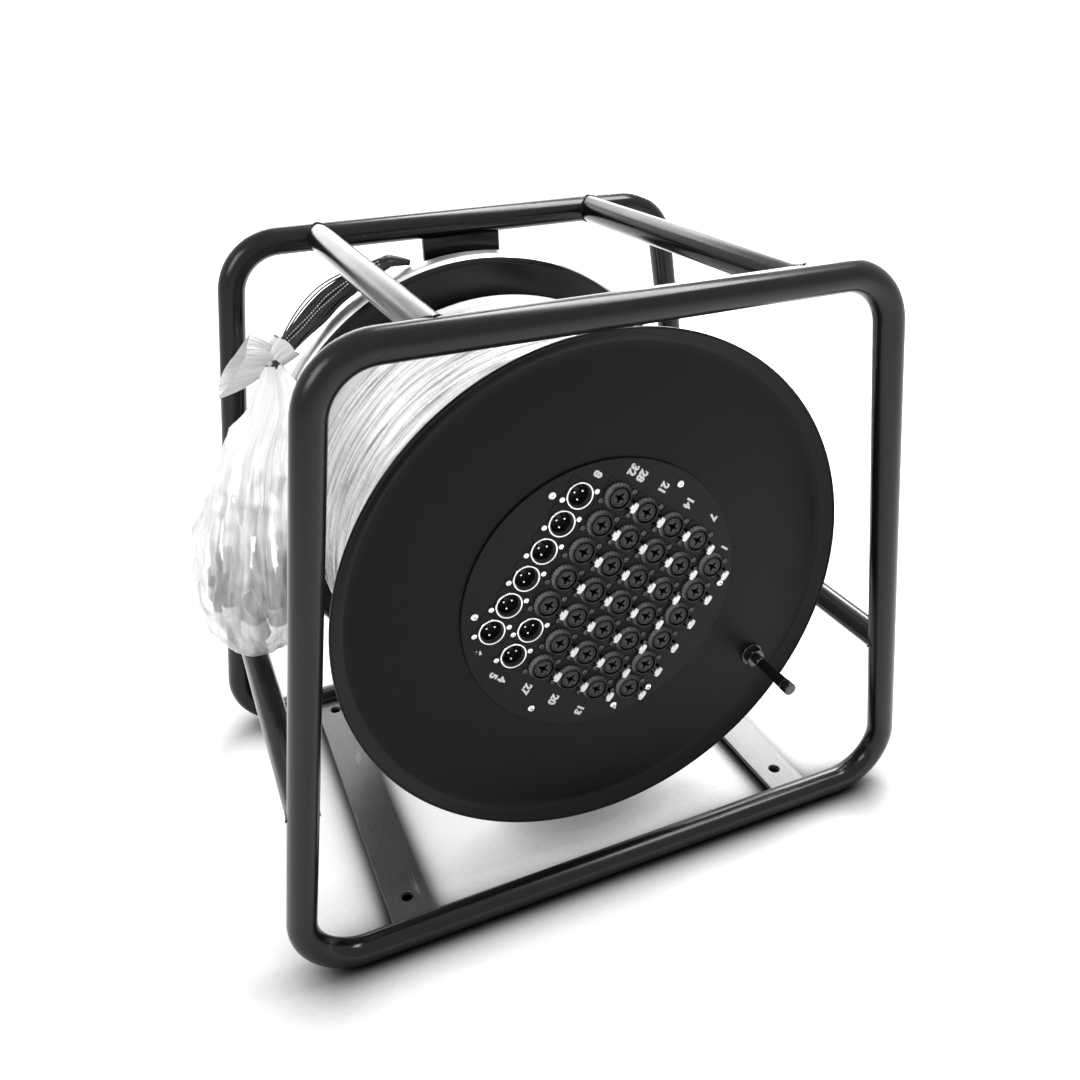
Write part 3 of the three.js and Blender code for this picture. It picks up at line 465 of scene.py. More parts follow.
def ring_stack(rings, steps, first_cap=False, last_cap=False, joined=False):
    """Rings about the Y axis. Each has a radius and a depth, as one number or as one for each step."""
    angles = np.arange(steps) * 2 * math.pi / steps
    points = []
    for radius, depth in rings:
        reach = np.broadcast_to(np.asarray(radius, float), steps)
        level = np.broadcast_to(np.asarray(depth, float), steps)
        points.append(np.stack([np.cos(angles) * reach, level, np.sin(angles) * reach], 1))
    faces = ring_faces(len(rings), steps, joined)
    points = np.concatenate(points)
    last = (len(rings) - 1) * steps
    ends = ((first_cap, 0, rings[0], True), (last_cap, last, rings[-1], False))
    for wanted, start, ring, turned in ends:
        if wanted:
            faces += cap_faces(len(points), start, steps, turned)
            points = np.vstack([points, [[0.0, ring[1], 0.0]]])
    return points, faces


def arc(centre, radius, start, end, steps):
    """Points of a circular arc in radius and depth, angles in degrees."""
    angles = np.radians(np.linspace(start, end, steps))
    return [(centre[0] + radius * math.cos(a), centre[1] + radius * math.sin(a)) for a in angles]


def sweep(path, radius, sides):
    """A closed tube along a path. Returns points, faces and UVs: metres along it, and turns round it."""
    path = np.asarray(path, float)
    count = len(path)
    tangent = np.roll(path, -1, 0) - np.roll(path, 1, 0)
    tangent[0] = path[1] - path[0]
    tangent[-1] = path[-1] - path[-2]
    tangent /= np.linalg.norm(tangent, axis=1)[:, None]
    across = np.cross(tangent[0], [0.13, 0.31, 0.94])
    across /= np.linalg.norm(across)
    radii = np.broadcast_to(np.asarray(radius, float), count)
    angles = np.arange(sides) * 2 * math.pi / sides
    rings = []
    for i in range(count):
        across = across - tangent[i] * np.dot(across, tangent[i])
        across /= np.linalg.norm(across)
        up = np.cross(tangent[i], across)
        rings.append(path[i] + radii[i] * (np.outer(np.cos(angles), across) + np.outer(np.sin(angles), up)))
    points = np.concatenate(rings)
    faces = ring_faces(count, sides)
    steps = np.linalg.norm(np.diff(path, axis=0), axis=1)
    along = np.concatenate([[0.0], np.cumsum(steps)]) * MM
    uvs = []
    for start, end in zip(along[:-1], along[1:]):
        for j in range(sides):
            low, high = j / sides, (j + 1) / sides
            uvs += [(start, low), (start, high), (end, high), (end, low)]
    for place, turned in ((0, True), (count - 1, False)):
        faces += cap_faces(len(points), place * sides, sides, turned)
        points = np.vstack([points, path[place]])
        uvs += [(along[place], 0.5)] * (3 * sides)
    return points, faces, uvs


def joined(parts):
    """Several (points, faces) shapes as one."""
    points, faces, offset = [], [], 0
    for part in parts:
        points.append(np.asarray(part[0], float))
        faces += [tuple(v + offset for v in face) for face in part[1]]
        offset += len(part[0])
    return np.concatenate(points), faces


def moved(part, place):
    return np.asarray(part[0], float) + np.asarray(place, float), part[1]


def flipped(part):
    """The same shape with its faces turned the other way."""
    return part[0], [tuple(reversed(face)) for face in part[1]]


def plate(outline, holes, front, back, edge):
    """A flat plate across Y with softened edges, from an outline and holes in across and up."""
    loops = [list(outline)] + [list(hole) for hole in holes]
    flat = [[Vector((a, u, 0)) for a, u in loop] for loop in loops]
    triangles = tessellate_polygon(flat)
    total = sum(len(loop) for loop in loops)
    normals = []
    for number, loop in enumerate(loops):
        corner = np.array(loop)
        ahead, behind = np.roll(corner, -1, 0) - corner, corner - np.roll(corner, 1, 0)
        side = np.stack([ahead[:, 1] + behind[:, 1], -(ahead[:, 0] + behind[:, 0])], 1)
        side /= np.linalg.norm(side, axis=1)[:, None] + 1e-9
        outward = 1.0 if (signed_area(corner) > 0) == (number == 0) else -1.0
        normals.append(side * outward)
    flat_points = np.concatenate([np.array(loop) for loop in loops])
    inset = flat_points - np.concatenate(normals) * edge
    layers = ((inset, front), (flat_points, front + edge), (flat_points, back - edge), (inset, back))
    points = np.concatenate([np.stack([p[:, 0], np.full(total, float(y)), p[:, 1]], 1) for p, y in layers])
    faces = []
    for a, b, c in triangles:
        area = (flat_points[b][0] - flat_points[a][0]) * (flat_points[c][1] - flat_points[a][1])
        area -= (flat_points[b][1] - flat_points[a][1]) * (flat_points[c][0] - flat_points[a][0])
        front_face = (a, b, c) if area > 0 else (a, c, b)
        faces.append(front_face)
        faces.append(tuple(3 * total + v for v in reversed(front_face)))
    start = 0
    for number, loop in enumerate(loops):
        forward = (signed_area(np.array(loop)) > 0) == (number == 0)
        for layer in range(3):
            low, high = layer * total + start, (layer + 1) * total + start
            for j in range(len(loop)):
                side = (j + 1) % len(loop)
                face = (low + j, high + j, high + side, low + side)
                faces.append(face if forward else tuple(reversed(face)))
        start += len(loop)
    return points, faces


def signed_area(corner):
    """The area inside an outline: positive where it runs counterclockwise."""
    ahead = np.roll(corner, -1, 0)
    return 0.5 * np.sum(corner[:, 0] * ahead[:, 1] - corner[:, 1] * ahead[:, 0])


def circle(across, up, radius, count):
    angles = np.arange(count) * 2 * math.pi / count
    return [(across + radius * math.cos(a), up + radius * math.sin(a)) for a in angles]


def rounded_box(half_wide, half_high, radius, count):
    """The outline of a rounded rectangle about the origin."""
    outline = []
    for number, (sx, sy) in enumerate(((1, 1), (-1, 1), (-1, -1), (1, -1))):
        for k in range(count + 1):
            angle = math.pi / 2 * (number + k / count)
            outline.append((sx * (half_wide - radius) + radius * math.cos(angle),
                            sy * (half_high - radius) + radius * math.sin(angle)))
    return outline


# Geometry Nodes: tubes along paths, and repeated units
def tube_tree():
    """A round tube along each path: radius, sides and finish are its inputs."""
    tree = bpy.data.node_groups.new("tube_along_path", "GeometryNodeTree")
    for name, kind in (("Path", "NodeSocketGeometry"), ("Radius", "NodeSocketFloat"),
                       ("Sides", "NodeSocketInt"), ("Finish", "NodeSocketMaterial")):
        tree.interface.new_socket(name, in_out="INPUT", socket_type=kind)
    tree.interface.new_socket("Tube", in_out="OUTPUT", socket_type="NodeSocketGeometry")
    given = add_node(tree, "NodeGroupInput")
    line = add_node(tree, "GeometryNodeMeshToCurve", inputs={"Mesh": (given, "Path")})
    profile = add_node(tree, "GeometryNodeCurvePrimitiveCircle", inputs={
        "Resolution": (given, "Sides"), "Radius": (given, "Radius")})
    skin = add_node(tree, "GeometryNodeCurveToMesh", inputs={
        "Curve": (line, "Curve"), "Profile Curve": (profile, "Curve"), "Fill Caps": True})
    plain = add_node(tree, "GeometryNodeRealizeInstances", inputs={"Geometry": (skin, "Mesh")})
    finished = add_node(tree, "GeometryNodeSetMaterial", inputs={
        "Geometry": (plain, "Geometry"), "Material": (given, "Finish")})
    add_node(tree, "NodeGroupOutput", inputs={"Tube": (finished, "Geometry")})
    return tree


def repeat_tree():
    """A unit on each point, turned by the point's turn, with a little seeded change of size."""
    tree = bpy.data.node_groups.new("unit_on_points", "GeometryNodeTree")
    for name, kind in (("Points", "NodeSocketGeometry"), ("Unit", "NodeSocketObject"),
                       ("Least size", "NodeSocketFloat"), ("Seed", "NodeSocketInt"),
                       ("Finish", "NodeSocketMaterial")):
        tree.interface.new_socket(name, in_out="INPUT", socket_type=kind)
    tree.interface.new_socket("Units", in_out="OUTPUT", socket_type="NodeSocketGeometry")
    given = add_node(tree, "NodeGroupInput")
    unit = add_node(tree, "GeometryNodeObjectInfo", inputs={"Object": (given, "Unit")})
    turn = add_node(tree, "GeometryNodeInputNamedAttribute", {"data_type": "FLOAT_VECTOR"}, {
        "Name": "turn"})
    size = add_node(tree, "FunctionNodeRandomValue", {"data_type": "FLOAT"}, {
        2: (given, "Least size"), 3: 1.0, "Seed": (given, "Seed")})
    placed = add_node(tree, "GeometryNodeInstanceOnPoints", inputs={
        "Points": (given, "Points"), "Instance": (unit, "Geometry"),
        "Rotation": (turn, "Attribute"), "Scale": (size, 1)})
    plain = add_node(tree, "GeometryNodeRealizeInstances", inputs={"Geometry": (placed, "Instances")})
    finished = add_node(tree, "GeometryNodeSetMaterial", inputs={
        "Geometry": (plain, "Geometry"), "Material": (given, "Finish")})
    add_node(tree, "NodeGroupOutput", inputs={"Units": (finished, "Geometry")})
    return tree


TUBE_TREE = tube_tree()
REPEAT_TREE = repeat_tree()


def grown(name, base, tree, values, body, angle=35):
    """Runs a tree on a mesh and keeps the result as a plain piece that rides on a body."""
    source = new_object(name + "_source", base)
    modifier = source.modifiers.new("grow", "NODES")
    modifier.node_group = tree
    for item in tree.interface.items_tree:
        if item.in_out == "INPUT" and item.name in values:
            modifier[item.identifier] = values[item.name]
    evaluated = source.evaluated_get(bpy.context.evaluated_depsgraph_get())
    mesh = bpy.data.meshes.new_from_object(evaluated)
    mesh.name = name
    bpy.data.objects.remove(source)
    finish_mesh(mesh, angle)
    return riding_piece(name, mesh, body)


def make_tubes(name, paths, radius, sides, material, body, closed=False):
    """Tubes along one or more paths, in millimetres, as one piece."""
    points, edges = [], []
    for path in paths:
        start = len(points)
        points += [tuple(np.asarray(p, float) * MM) for p in path]
        edges += [(start + i, start + i + 1) for i in range(len(path) - 1)]
        if closed:
            edges.append((len(points) - 1, start))
    base = bpy.data.meshes.new(name + "_paths")
    base.from_pydata(points, edges, [])
    values = {"Radius": radius * MM, "Sides": sides, "Finish": material}
    return grown(name, base, TUBE_TREE, values, body)


def make_units(name, places, unit, material, body, least=1.0, seed=0, angle=35):
    """A unit shape, in millimetres, at each place: a point and a turn matrix."""
    shape = bpy.data.meshes.new(name + "_unit")
    shape.from_pydata((np.asarray(unit[0], float) * MM).tolist(), [], unit[1])
    holder = bpy.data.objects.new(name + "_unit", shape)
    base = bpy.data.meshes.new(name + "_points")
    base.from_pydata([tuple(np.asarray(place, float) * MM) for place, _ in places], [], [])
    turns = [Matrix(turn).to_euler() for _, turn in places]
    attribute = base.attributes.new("turn", "FLOAT_VECTOR", "POINT")
    attribute.data.foreach_set("vector", np.array([tuple(t) for t in turns], np.float32).ravel())
    values = {"Unit": holder, "Least size": least, "Seed": seed, "Finish": material}
    piece = grown(name, base, REPEAT_TREE, values, body, angle)
    bpy.data.objects.remove(holder)
    return piece


def cad_finish(node, material):
    """A better material on a CAD node that stays."""
    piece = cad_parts[node]
    piece.data.materials.clear()
    piece.data.materials.append(material)


# The lead of the tails, the object's one free cord
def lead_path():
    points = []
    for angle in np.linspace(LEAD_START, LEAD_LEAVE, 9):
        points.append((math.cos(angle) * LEAD_TURN, LEAD_Y, math.sin(angle) * LEAD_TURN + AXLE_Z))
    last = np.array(points[-1])
    along = np.array([-math.sin(LEAD_LEAVE), 0.0, math.cos(LEAD_LEAVE)])
    end = last + along * LEAD_RUN - np.array([0.0, LEAD_FORWARD, 0.0])
    for share in np.linspace(0, 1, 10)[1:]:
        points.append(tuple(last + (end - last) * share))
    return np.array(points), along


LEAD, LEAD_ALONG = lead_path()
NECK = LEAD[-1] + LEAD_ALONG * 8.3
BAG_FLOOR = LOWER_RAIL_Z + TUBE + 0.6
# Rows of share below the neck, x, y, width and depth
BAG_ROWS = [(0.0, -207.0, 148.0, 16.0, 15.0), (0.05, -208.0, 134.0, 34.0, 22.0),
            (0.12, -213.0, 119.0, 54.0, 34.0), (0.26, -236.0, 103.0, 76.0, 58.0),
            (0.5, -257.0, 76.0, 96.0, 99.0), (0.74, -266.0, 62.0, 109.0, 120.0),
            (0.85, -266.0, 61.0, 103.0, 112.0), (0.93, -264.0, 60.0, 86.0, 96.0),
            (0.98, -262.0, 60.0, 62.0, 72.0), (1.0, -261.0, 60.0, 40.0, 50.0)]


def bag_section(down):
    """Centre, width and depth of the bag at a share of its height below the neck."""
    rows = np.array(BAG_ROWS)
    across, forward, wide, deep = (np.interp(down, rows[:, 0], rows[:, k]) for k in (1, 2, 3, 4))
    return np.array([across, forward, NECK[2] + (BAG_FLOOR - NECK[2]) * down]), wide, deep


# The cord runs on inside the bag, down the middle of the tails' ends
CORD = np.vstack([LEAD, [bag_section(down)[0] for down in np.linspace(0.04, 0.56, 16)]])
CORD_RADII = [CORD_CORE_START] + [CORD_CORE] * (len(CORD) - 1)
tail_lead = make_piece("tail_lead_core", *sweep(CORD, CORD_RADII, 24)[:2], TAIL_BLACK, "frame", "tail_jacket")
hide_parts("tail_lead")


# Tube frame
def hoop_path(y):
    corners = [Vector((-HOOP_HALF_BOTTOM, HOOP_LOW)), Vector((HOOP_HALF_BOTTOM, HOOP_LOW)),
               Vector((HOOP_HALF_TOP, HOOP_HIGH)), Vector((-HOOP_HALF_TOP, HOOP_HIGH))]
    path = []
    for i, corner in enumerate(corners):
        before = (corners[i - 1] - corner).normalized()
        after = (corners[(i + 1) % 4] - corner).normalized()
        half = before.angle(after) / 2
        centre = corner + (before + after).normalized() * (HOOP_BEND / math.sin(half))
        start = corner + before * (HOOP_BEND / math.tan(half)) - centre
        end = corner + after * (HOOP_BEND / math.tan(half)) - centre
        first = math.atan2(start.y, start.x)
        turn = (math.atan2(end.y, end.x) - first + math.pi) % (2 * math.pi) - math.pi
        for k in range(15):
            angle = first + turn * k / 14
            path.append((centre.x + math.cos(angle) * HOOP_BEND, y, centre.y + math.sin(angle) * HOOP_BEND))
    return path


def make_frame_tubes():
    for name, y in (("front_hoop", -HOOP_Y), ("rear_hoop", HOOP_Y)):
        piece = make_tubes(name + "_tube", [hoop_path(y)], TUBE, 48, POWDER, "frame",
                           closed=True)
        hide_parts(name)
    reach = HOOP_Y - 2.0
    share = (LOWER_RAIL_Z - HOOP_LOW) / (HOOP_HIGH - HOOP_LOW)
    lower_x = HOOP_HALF_BOTTOM + (HOOP_HALF_TOP - HOOP_HALF_BOTTOM) * share
    rails = {"top_rail_left": (-TOP_RAIL_X, HOOP_HIGH), "top_rail_right": (TOP_RAIL_X, HOOP_HIGH),
             "lower_rail_left": (-lower_x, LOWER_RAIL_Z), "lower_rail_right": (lower_x, LOWER_RAIL_Z)}
    for name, (x, z) in rails.items():
        path = [(x, y, z) for y in np.linspace(-reach, reach, 12)]
        piece = make_tubes(name + "_tube", [path], TUBE, 48, POWDER, "frame")
        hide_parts(name)
    return rails


RAILS = make_frame_tubes()


def bead_places(path, spacing):
    """Places along a path for the ripples of a weld or the painted glint dots of a tail, each turned along
    it.
    """
    path = np.asarray(path, float)
    steps = np.linalg.norm(np.diff(path, axis=0), axis=1)
    along = np.concatenate([[0.0], np.cumsum(steps)])
    places = []
    for distance in np.arange(0, along[-1], spacing):
        spot = np.array([np.interp(distance, along, path[:, k]) for k in range(3)])
        ahead = np.array([np.interp(min(distance + 0.5, along[-1]), along, path[:, k]) for k in range(3)])
        direction = Vector(ahead - spot)
        if direction.length < 1e-6:
            continue
        places.append((spot, direction.to_track_quat("Z", "Y").to_matrix()))
    return places


def ripple_unit(wide, thick):
    """One ripple of a weld: a low, flattened drop across the Z axis."""
    rings = [(0.55, -0.8), (0.92, -0.42), (1.0, 0.0), (0.92, 0.42), (0.55, 0.8)]
    points, faces = ring_stack(rings, 8, True, True)
    scaled = points[:, [0, 2, 1]] * np.array([wide, wide, thick])
    return scaled, [tuple(reversed(face)) for face in faces]


def make_welds():
    places = []
    for name, (x, z) in RAILS.items():
        side = 1.0 if x > 0 else -1.0
        if name.startswith("top"):
            across = np.array([0.0, 1.0])
        else:
            run = np.array([side * (HOOP_HALF_TOP - HOOP_HALF_BOTTOM), HOOP_HIGH - HOOP_LOW])
            run /= np.linalg.norm(run)
            across = np.array([-run[1], run[0]])
        for end in (-1.0, 1.0):
            path = []
            for angle in np.linspace(0, 2 * math.pi, 73):
                offset = np.array([math.cos(angle), math.sin(angle)]) * TUBE
                reach = math.sqrt(max(TUBE ** 2 - np.dot(offset, across) ** 2, 0.0))
                out = offset * 1.03
                path.append((x + out[0], end * (HOOP_Y - reach - 0.4), z + out[1]))
            places += bead_places(path, WELD_STEP)
    for side in (-1.0, 1.0):
        for end in (-1.0, 1.0):
            for z in (HOOP_LOW + 0.4, HOOP_LOW - 5.4):
                line = [(side * STRAP_X + half, end * 169.0, z) for half in (1 - STRAP_HALF, STRAP_HALF - 1)]
                places += bead_places(line, WELD_STEP)
    for z in (HOOP_LOW + TUBE, HOOP_HIGH - TUBE):
        for y in (HOOP_Y - 3.4, HOOP_Y + 3.4):
            places += bead_places([(1 - PLATE_HALF, y, z), (PLATE_HALF - 1, y, z)], WELD_STEP)
    make_units("weld_ripples", places, ripple_unit(1.1, 0.9), POWDER, "frame",
               least=0.82, seed=7, angle=60)


make_welds()


def make_straps():
    clear = HOOP_Y - TUBE
    for name, side in (("floor_strap_left", -1.0), ("floor_strap_right", 1.0)):
        x = side * STRAP_X
        half = clear + 1.5
        outline = [(x + a, u) for a, u in rounded_box(STRAP_HALF, half, 1.0, 3)]
        holes = [circle(x, y, 5.5, 40) for y in (-clear + 27.0, clear - 16.0)]
        points, faces = plate(outline, holes, 0.0, STRAP_THICK, 0.6)
        # The plate lies flat: its across stays X, its up becomes Y and its depth runs down Z
        flat = np.stack([points[:, 0], points[:, 2], STRAP_TOP - points[:, 1]], 1)
        piece = make_piece(name + "_bar", flat, faces, BAR_PAINT, "frame", "strap_paint")
        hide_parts(name)


make_straps()


def make_bearing_plate():
    outline = rounded_box(PLATE_HALF, (HOOP_HIGH - HOOP_LOW) / 2, 1.0, 3)
    middle = (HOOP_HIGH + HOOP_LOW) / 2
    outline = [(a, u + middle) for a, u in outline]
    sheet = plate(outline, [circle(0.0, AXLE_Z, BOSS_BORE, 48)], PLATE_FRONT, PLATE_BACK, 0.6)
    boss = ring_stack([(BOSS_BORE, 182.0), (BOSS_BORE, 151.0), (34.0, 151.0), (35.0, 152.0), (35.0, 177.0),
                       (36.2, 178.3), (38.4, 179.2), (38.4, 180.0)], 72)
    piece = make_piece("bearing_plate_with_boss", *joined([sheet, moved(boss, (0, 0, AXLE_Z))]),
                       POWDER, "frame", "frame_paint")
    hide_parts("bearing_plate")


make_bearing_plate()


def hexagon(radius, steps):
    """Radii of a hexagon's outline, for a ring of that many steps."""
    angles = np.arange(steps) * 2 * math.pi / steps
    return radius * math.cos(math.pi / 6) / np.cos((angles % (math.pi / 3)) - math.pi / 6)


def hex_nut(across_corners, front, back, hole):
    """A chamfered hexagon nut about the Y axis."""
    steps = 72
    corner = across_corners / 2
    flat = hexagon(corner, steps)
    chamfer = np.minimum(flat, corner * 0.93)
    eased = np.minimum(flat, corner * 0.985)
    return ring_stack([(hole, front), (chamfer * 0.985, front), (eased, front + 0.9), (flat, front + 1.8),
                       (flat, back - 1.8), (eased, back - 0.9), (chamfer * 0.985, back), (hole, back)],
                      steps, joined=True)


def make_axle():
    shaft = [(11.3, 201.0), (AXLE, 200.2)]
    for k in range(3):
        start = 200.0 - k * 1.2
        shaft += [(AXLE, start - 0.3), (11.5, start - 0.6), (AXLE, start - 0.9)]
    shaft += [(AXLE, 59.0)]
    bar = flipped(ring_stack(shaft, 48, True, True))
    nut = hex_nut(40.0, 186.8, 197.3, AXLE)
    washer = ring_stack([(12.1, 185.2), (19.5, 185.2), (20.0, 185.6), (20.0, 186.5), (19.5, 186.9),
                         (12.1, 186.9)], 48, joined=True)
    head = hex_nut(36.0, 50.7, 59.7, 2.0)
    shape = joined([moved(part, (0, 0, AXLE_Z)) for part in (bar, nut, washer, head)])
    piece = make_piece("axle_with_nut", *shape, ZINC, "frame", "axle_steel", angle=28)
    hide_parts("axle")


make_axle()


# Drum flanges
def make_front_flange():
    outline = [(118.8, FRONT_FACE), (160.0, FRONT_FACE), (200.0, FRONT_FACE), (216.4, FRONT_FACE)]
    outline += [(218.6, -137.86), (220.7, -138.3), (222.9, -139.2), (228.0, -142.1), (232.6, -144.9)]
    outline += arc((233.5, -144.5), 1.5, 236, 300, 5) + arc((233.5, -144.3), 1.5, 320, 400, 6)
    outline += [(231.0, -141.0), (227.5, -139.0), (223.9, -136.9), (221.6, -135.6), (219.2, -134.9)]
    outline += [(216.4, FRONT_BACK), (200.0, FRONT_BACK), (160.0, FRONT_BACK), (118.8, FRONT_BACK)]
    steps = 240
    points, faces = moved(ring_stack(outline, steps, joined=True), (0, 0, AXLE_Z))
    ring_of_face = np.arange(len(faces)) // steps
    # The sloping rim and its rolled edge have a gloss that the flat sheet hasn't
    rim = (ring_of_face > 5) & (ring_of_face < 19)
    piece = make_piece("front_flange_sheet", points, faces, [DRUM_PAINT, RIM_COAT], "drum", "drum_paint",
                       angle=40, marks=rim.astype(np.int32))
    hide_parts("front_flange")


make_front_flange()


def make_rear_flange():
    outline = [(30.4, REAR_FACE), (80.0, REAR_FACE), (150.0, REAR_FACE), (226.0, REAR_FACE)]
    outline += arc((226.5, 143.5), 8.5, 276, 356, 10)
    outline += [(235.0, 150.0), (235.0, 158.6)] + arc((233.5, 158.5), 1.5, 10, 170, 8)
    outline += [(232.0, 150.0)] + arc((226.5, 143.5), 5.5, 356, 276, 10)
    outline += [(224.0, REAR_BACK), (150.0, REAR_BACK), (80.0, REAR_BACK), (30.4, REAR_BACK)]
    steps = 240
    points, faces = moved(ring_stack(outline, steps, joined=True), (0, 0, AXLE_Z))
    ring_of_face = np.arange(len(faces)) // steps
    # The turned lip is pale plated sheet; its pale colour also stands for a painted highlight along the lip
    lip = (ring_of_face > 7) & (ring_of_face < 24)
    piece = make_piece("rear_flange_sheet", points, faces, [POWDER, LIP_ZINC_AND_HIGHLIGHT], "drum", "drum_paint",
                       angle=40, marks=lip.astype(np.int32))
    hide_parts("rear_flange")


make_rear_flange()
for node in ("drum_barrel", "drum_web", "drum_hub"):
    cad_finish(node, DRUM_PAINT)


# Wound cable
def make_winding():
    steps, sides = 150, 28
    total = int(CABLE_LOOPS * steps)
    # A short run past each end of the turns, as a share of one turn
    lead_in = CABLE_END / (2 * math.pi * CABLE_TURN)
    share = np.concatenate([[-lead_in], np.arange(total + 1) / steps, [CABLE_LOOPS + lead_in]])
    angle = share * 2 * math.pi - REST
    y = CABLE_FIRST_Y + CABLE_PITCH * share
    path = np.stack([np.cos(angle) * CABLE_TURN, y, np.sin(angle) * CABLE_TURN + AXLE_Z], 1)
    points, faces, uvs = sweep(path, CABLE, sides)
    # The film gathers the cable's round into soft flats and ridges that drift along it
    rings = len(path)
    grid = points[:rings * sides].reshape(rings, sides, 3)
    centre = grid.mean(1, keepdims=True)
    metres = share[:, None] * 2 * math.pi * CABLE_TURN * MM
    turn = np.arange(sides)[None, :] * 2 * math.pi / sides
    swell = 0.35 * np.sin(3 * turn + 9.0 * metres) + 0.3 * np.sin(5 * turn - 21.0 * metres + 1.0)
    swell += 0.22 * np.sin(2 * turn + 47.0 * metres) + 0.16 * np.sin(8 * turn + 90.0 * metres)
    bare = np.clip((share[:, None] - (CABLE_LOOPS - 1.02)) * 30, 0, 1)
    factor = 1 + (swell * (1 - bare) - 0.45) / CABLE
    points[:rings * sides] = (centre + (grid - centre) * factor[..., None]).reshape(-1, 3)
    ring_of_face = np.minimum(np.arange(len(faces)) // sides, rings - 2)
    ring_of_face[-2 * sides:-sides] = 0
    marks = (share[ring_of_face] > CABLE_LOOPS - 1.0).astype(np.int32)
    piece = make_piece("cable_turns_in_film", points, faces, [FILM_CABLE, BARE_CABLE], "drum", "cable_film",
                       uvs=uvs, angle=60, marks=marks)
    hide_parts("cable_turns")


make_winding()


def make_inner_layers():
    """The next layer down, seen in the gaps between the outer turns."""
    outline = [(142.0, -134.2), (178.0, -134.2)]
    for k in range(10):
        middle = -121.0 + k * CABLE_PITCH
        outline += [(178.5, middle + 1.0 - 12.0), (181.5, middle), (178.5, middle + 12.0)]
    outline += [(178.0, 134.5), (142.0, 134.5)]
    shape = ring_stack(outline, 120, joined=True)
    piece = make_piece("cable_inner_layers", *moved(shape, (0, 0, AXLE_Z)), INNER_CABLE, "drum",
                       "cable_film", angle=70)
    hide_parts("cable_core")


make_inner_layers()


# Tails behind the rear flange
def make_tails():
    section = [(201.0, 139.0), (228.0, 139.0), (230.0, 141.0), (230.0, 168.5), (201.0, 168.5)]
    body = ring_stack(section, 120, joined=True)
    piece = make_piece("tail_inner_layers", *moved(body, (0, 0, AXLE_Z)), TAIL_BLACK, "drum", "tail_jacket")
    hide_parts("tail_core")
    generator = np.random.default_rng(11)
    paths = []
    rows = [(r, 169.0) for r in np.arange(203.0, 229.0, 4.3)] + [(229.6, y) for y in (162.6, 166.4)]
    for radius, depth in rows:
        phase, drift = generator.uniform(0, 2 * math.pi), generator.uniform(0.4, 1.1)
        path = []
        for angle in np.linspace(0, 2 * math.pi, 145)[:-1]:
            wave = math.sin(angle * 3 + phase) * 0.5 + math.sin(angle * 7 + phase * 2) * 0.25
            path.append((math.cos(angle) * (radius + wave * drift), depth + wave * 0.6,
                         math.sin(angle) * (radius + wave * drift) + AXLE_Z))
        paths.append(path)
    make_tubes("tail_strands_rear", paths, 2.1, 10, TAIL_BLACK, "drum", closed=True)
    # The outermost tails: loose turns drawn in behind the lip, so that the drum can turn past the lead
    outer = []
    first_y = 164.0
    end_angle = math.radians(125 - 32)
    total = round(1.8 * 24) / 24
    for offset, lift, phase in ((0.0, 0.0, 0.0), (3.4, -2.2, 1.7), (-2.8, -1.8, 4.0)):
        path = []
        for share in np.linspace(0, 1, 260):
            angle = end_angle - 2 * math.pi * total * (1 - share)
            wave = math.sin(angle * 2.3 + phase) * 0.5
            dip = 15.0 * max(0.0, math.cos(angle - math.radians(62))) ** 1.5
            radius = TAIL_TURN - TAIL_DRAW_IN + lift + wave - dip
            path.append((math.cos(angle) * radius, first_y + TAIL_SLOPE * total * share + offset * 0.5,
                         math.sin(angle) * radius + AXLE_Z))
        outer.append(path)
    turns = make_tubes("tail_turns_outer", outer, 2.0, 12, TAIL_BLACK, "drum")
    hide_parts("tail_turns")


make_tails()


def lead_frame(count):
    """The lead's line with its root by the wound tails, its outward direction and the share along it."""
    run_up = []
    for share in np.linspace(0, 1, 10)[:-1]:
        angle = LEAD_ROOT + (LEAD_START - LEAD_ROOT) * share
        radius = LEAD_ROOT_TURN + (LEAD_TURN - LEAD_ROOT_TURN) * share ** 0.9
        run_up.append((math.cos(angle) * radius, LEAD_Y + 1.0, math.sin(angle) * radius + AXLE_Z))
    line = np.vstack([run_up, LEAD])
    along = np.concatenate([[0.0], np.cumsum(np.linalg.norm(np.diff(line, axis=0), axis=1))])
    fine = np.linspace(0, along[-1], count)
    centre = np.stack([np.interp(fine, along, line[:, k]) for k in range(3)], 1)
    tangent = np.gradient(centre, axis=0)
    tangent /= np.linalg.norm(tangent, axis=1)[:, None]
    outward = np.cross(tangent, [0.0, -1.0, 0.0])
    outward /= np.linalg.norm(outward, axis=1)[:, None]
    outward *= np.sign(np.sum(outward * (centre - [0.0, LEAD_Y, AXLE_Z]), axis=1))[:, None]
    return centre, outward, fine / along[-1]


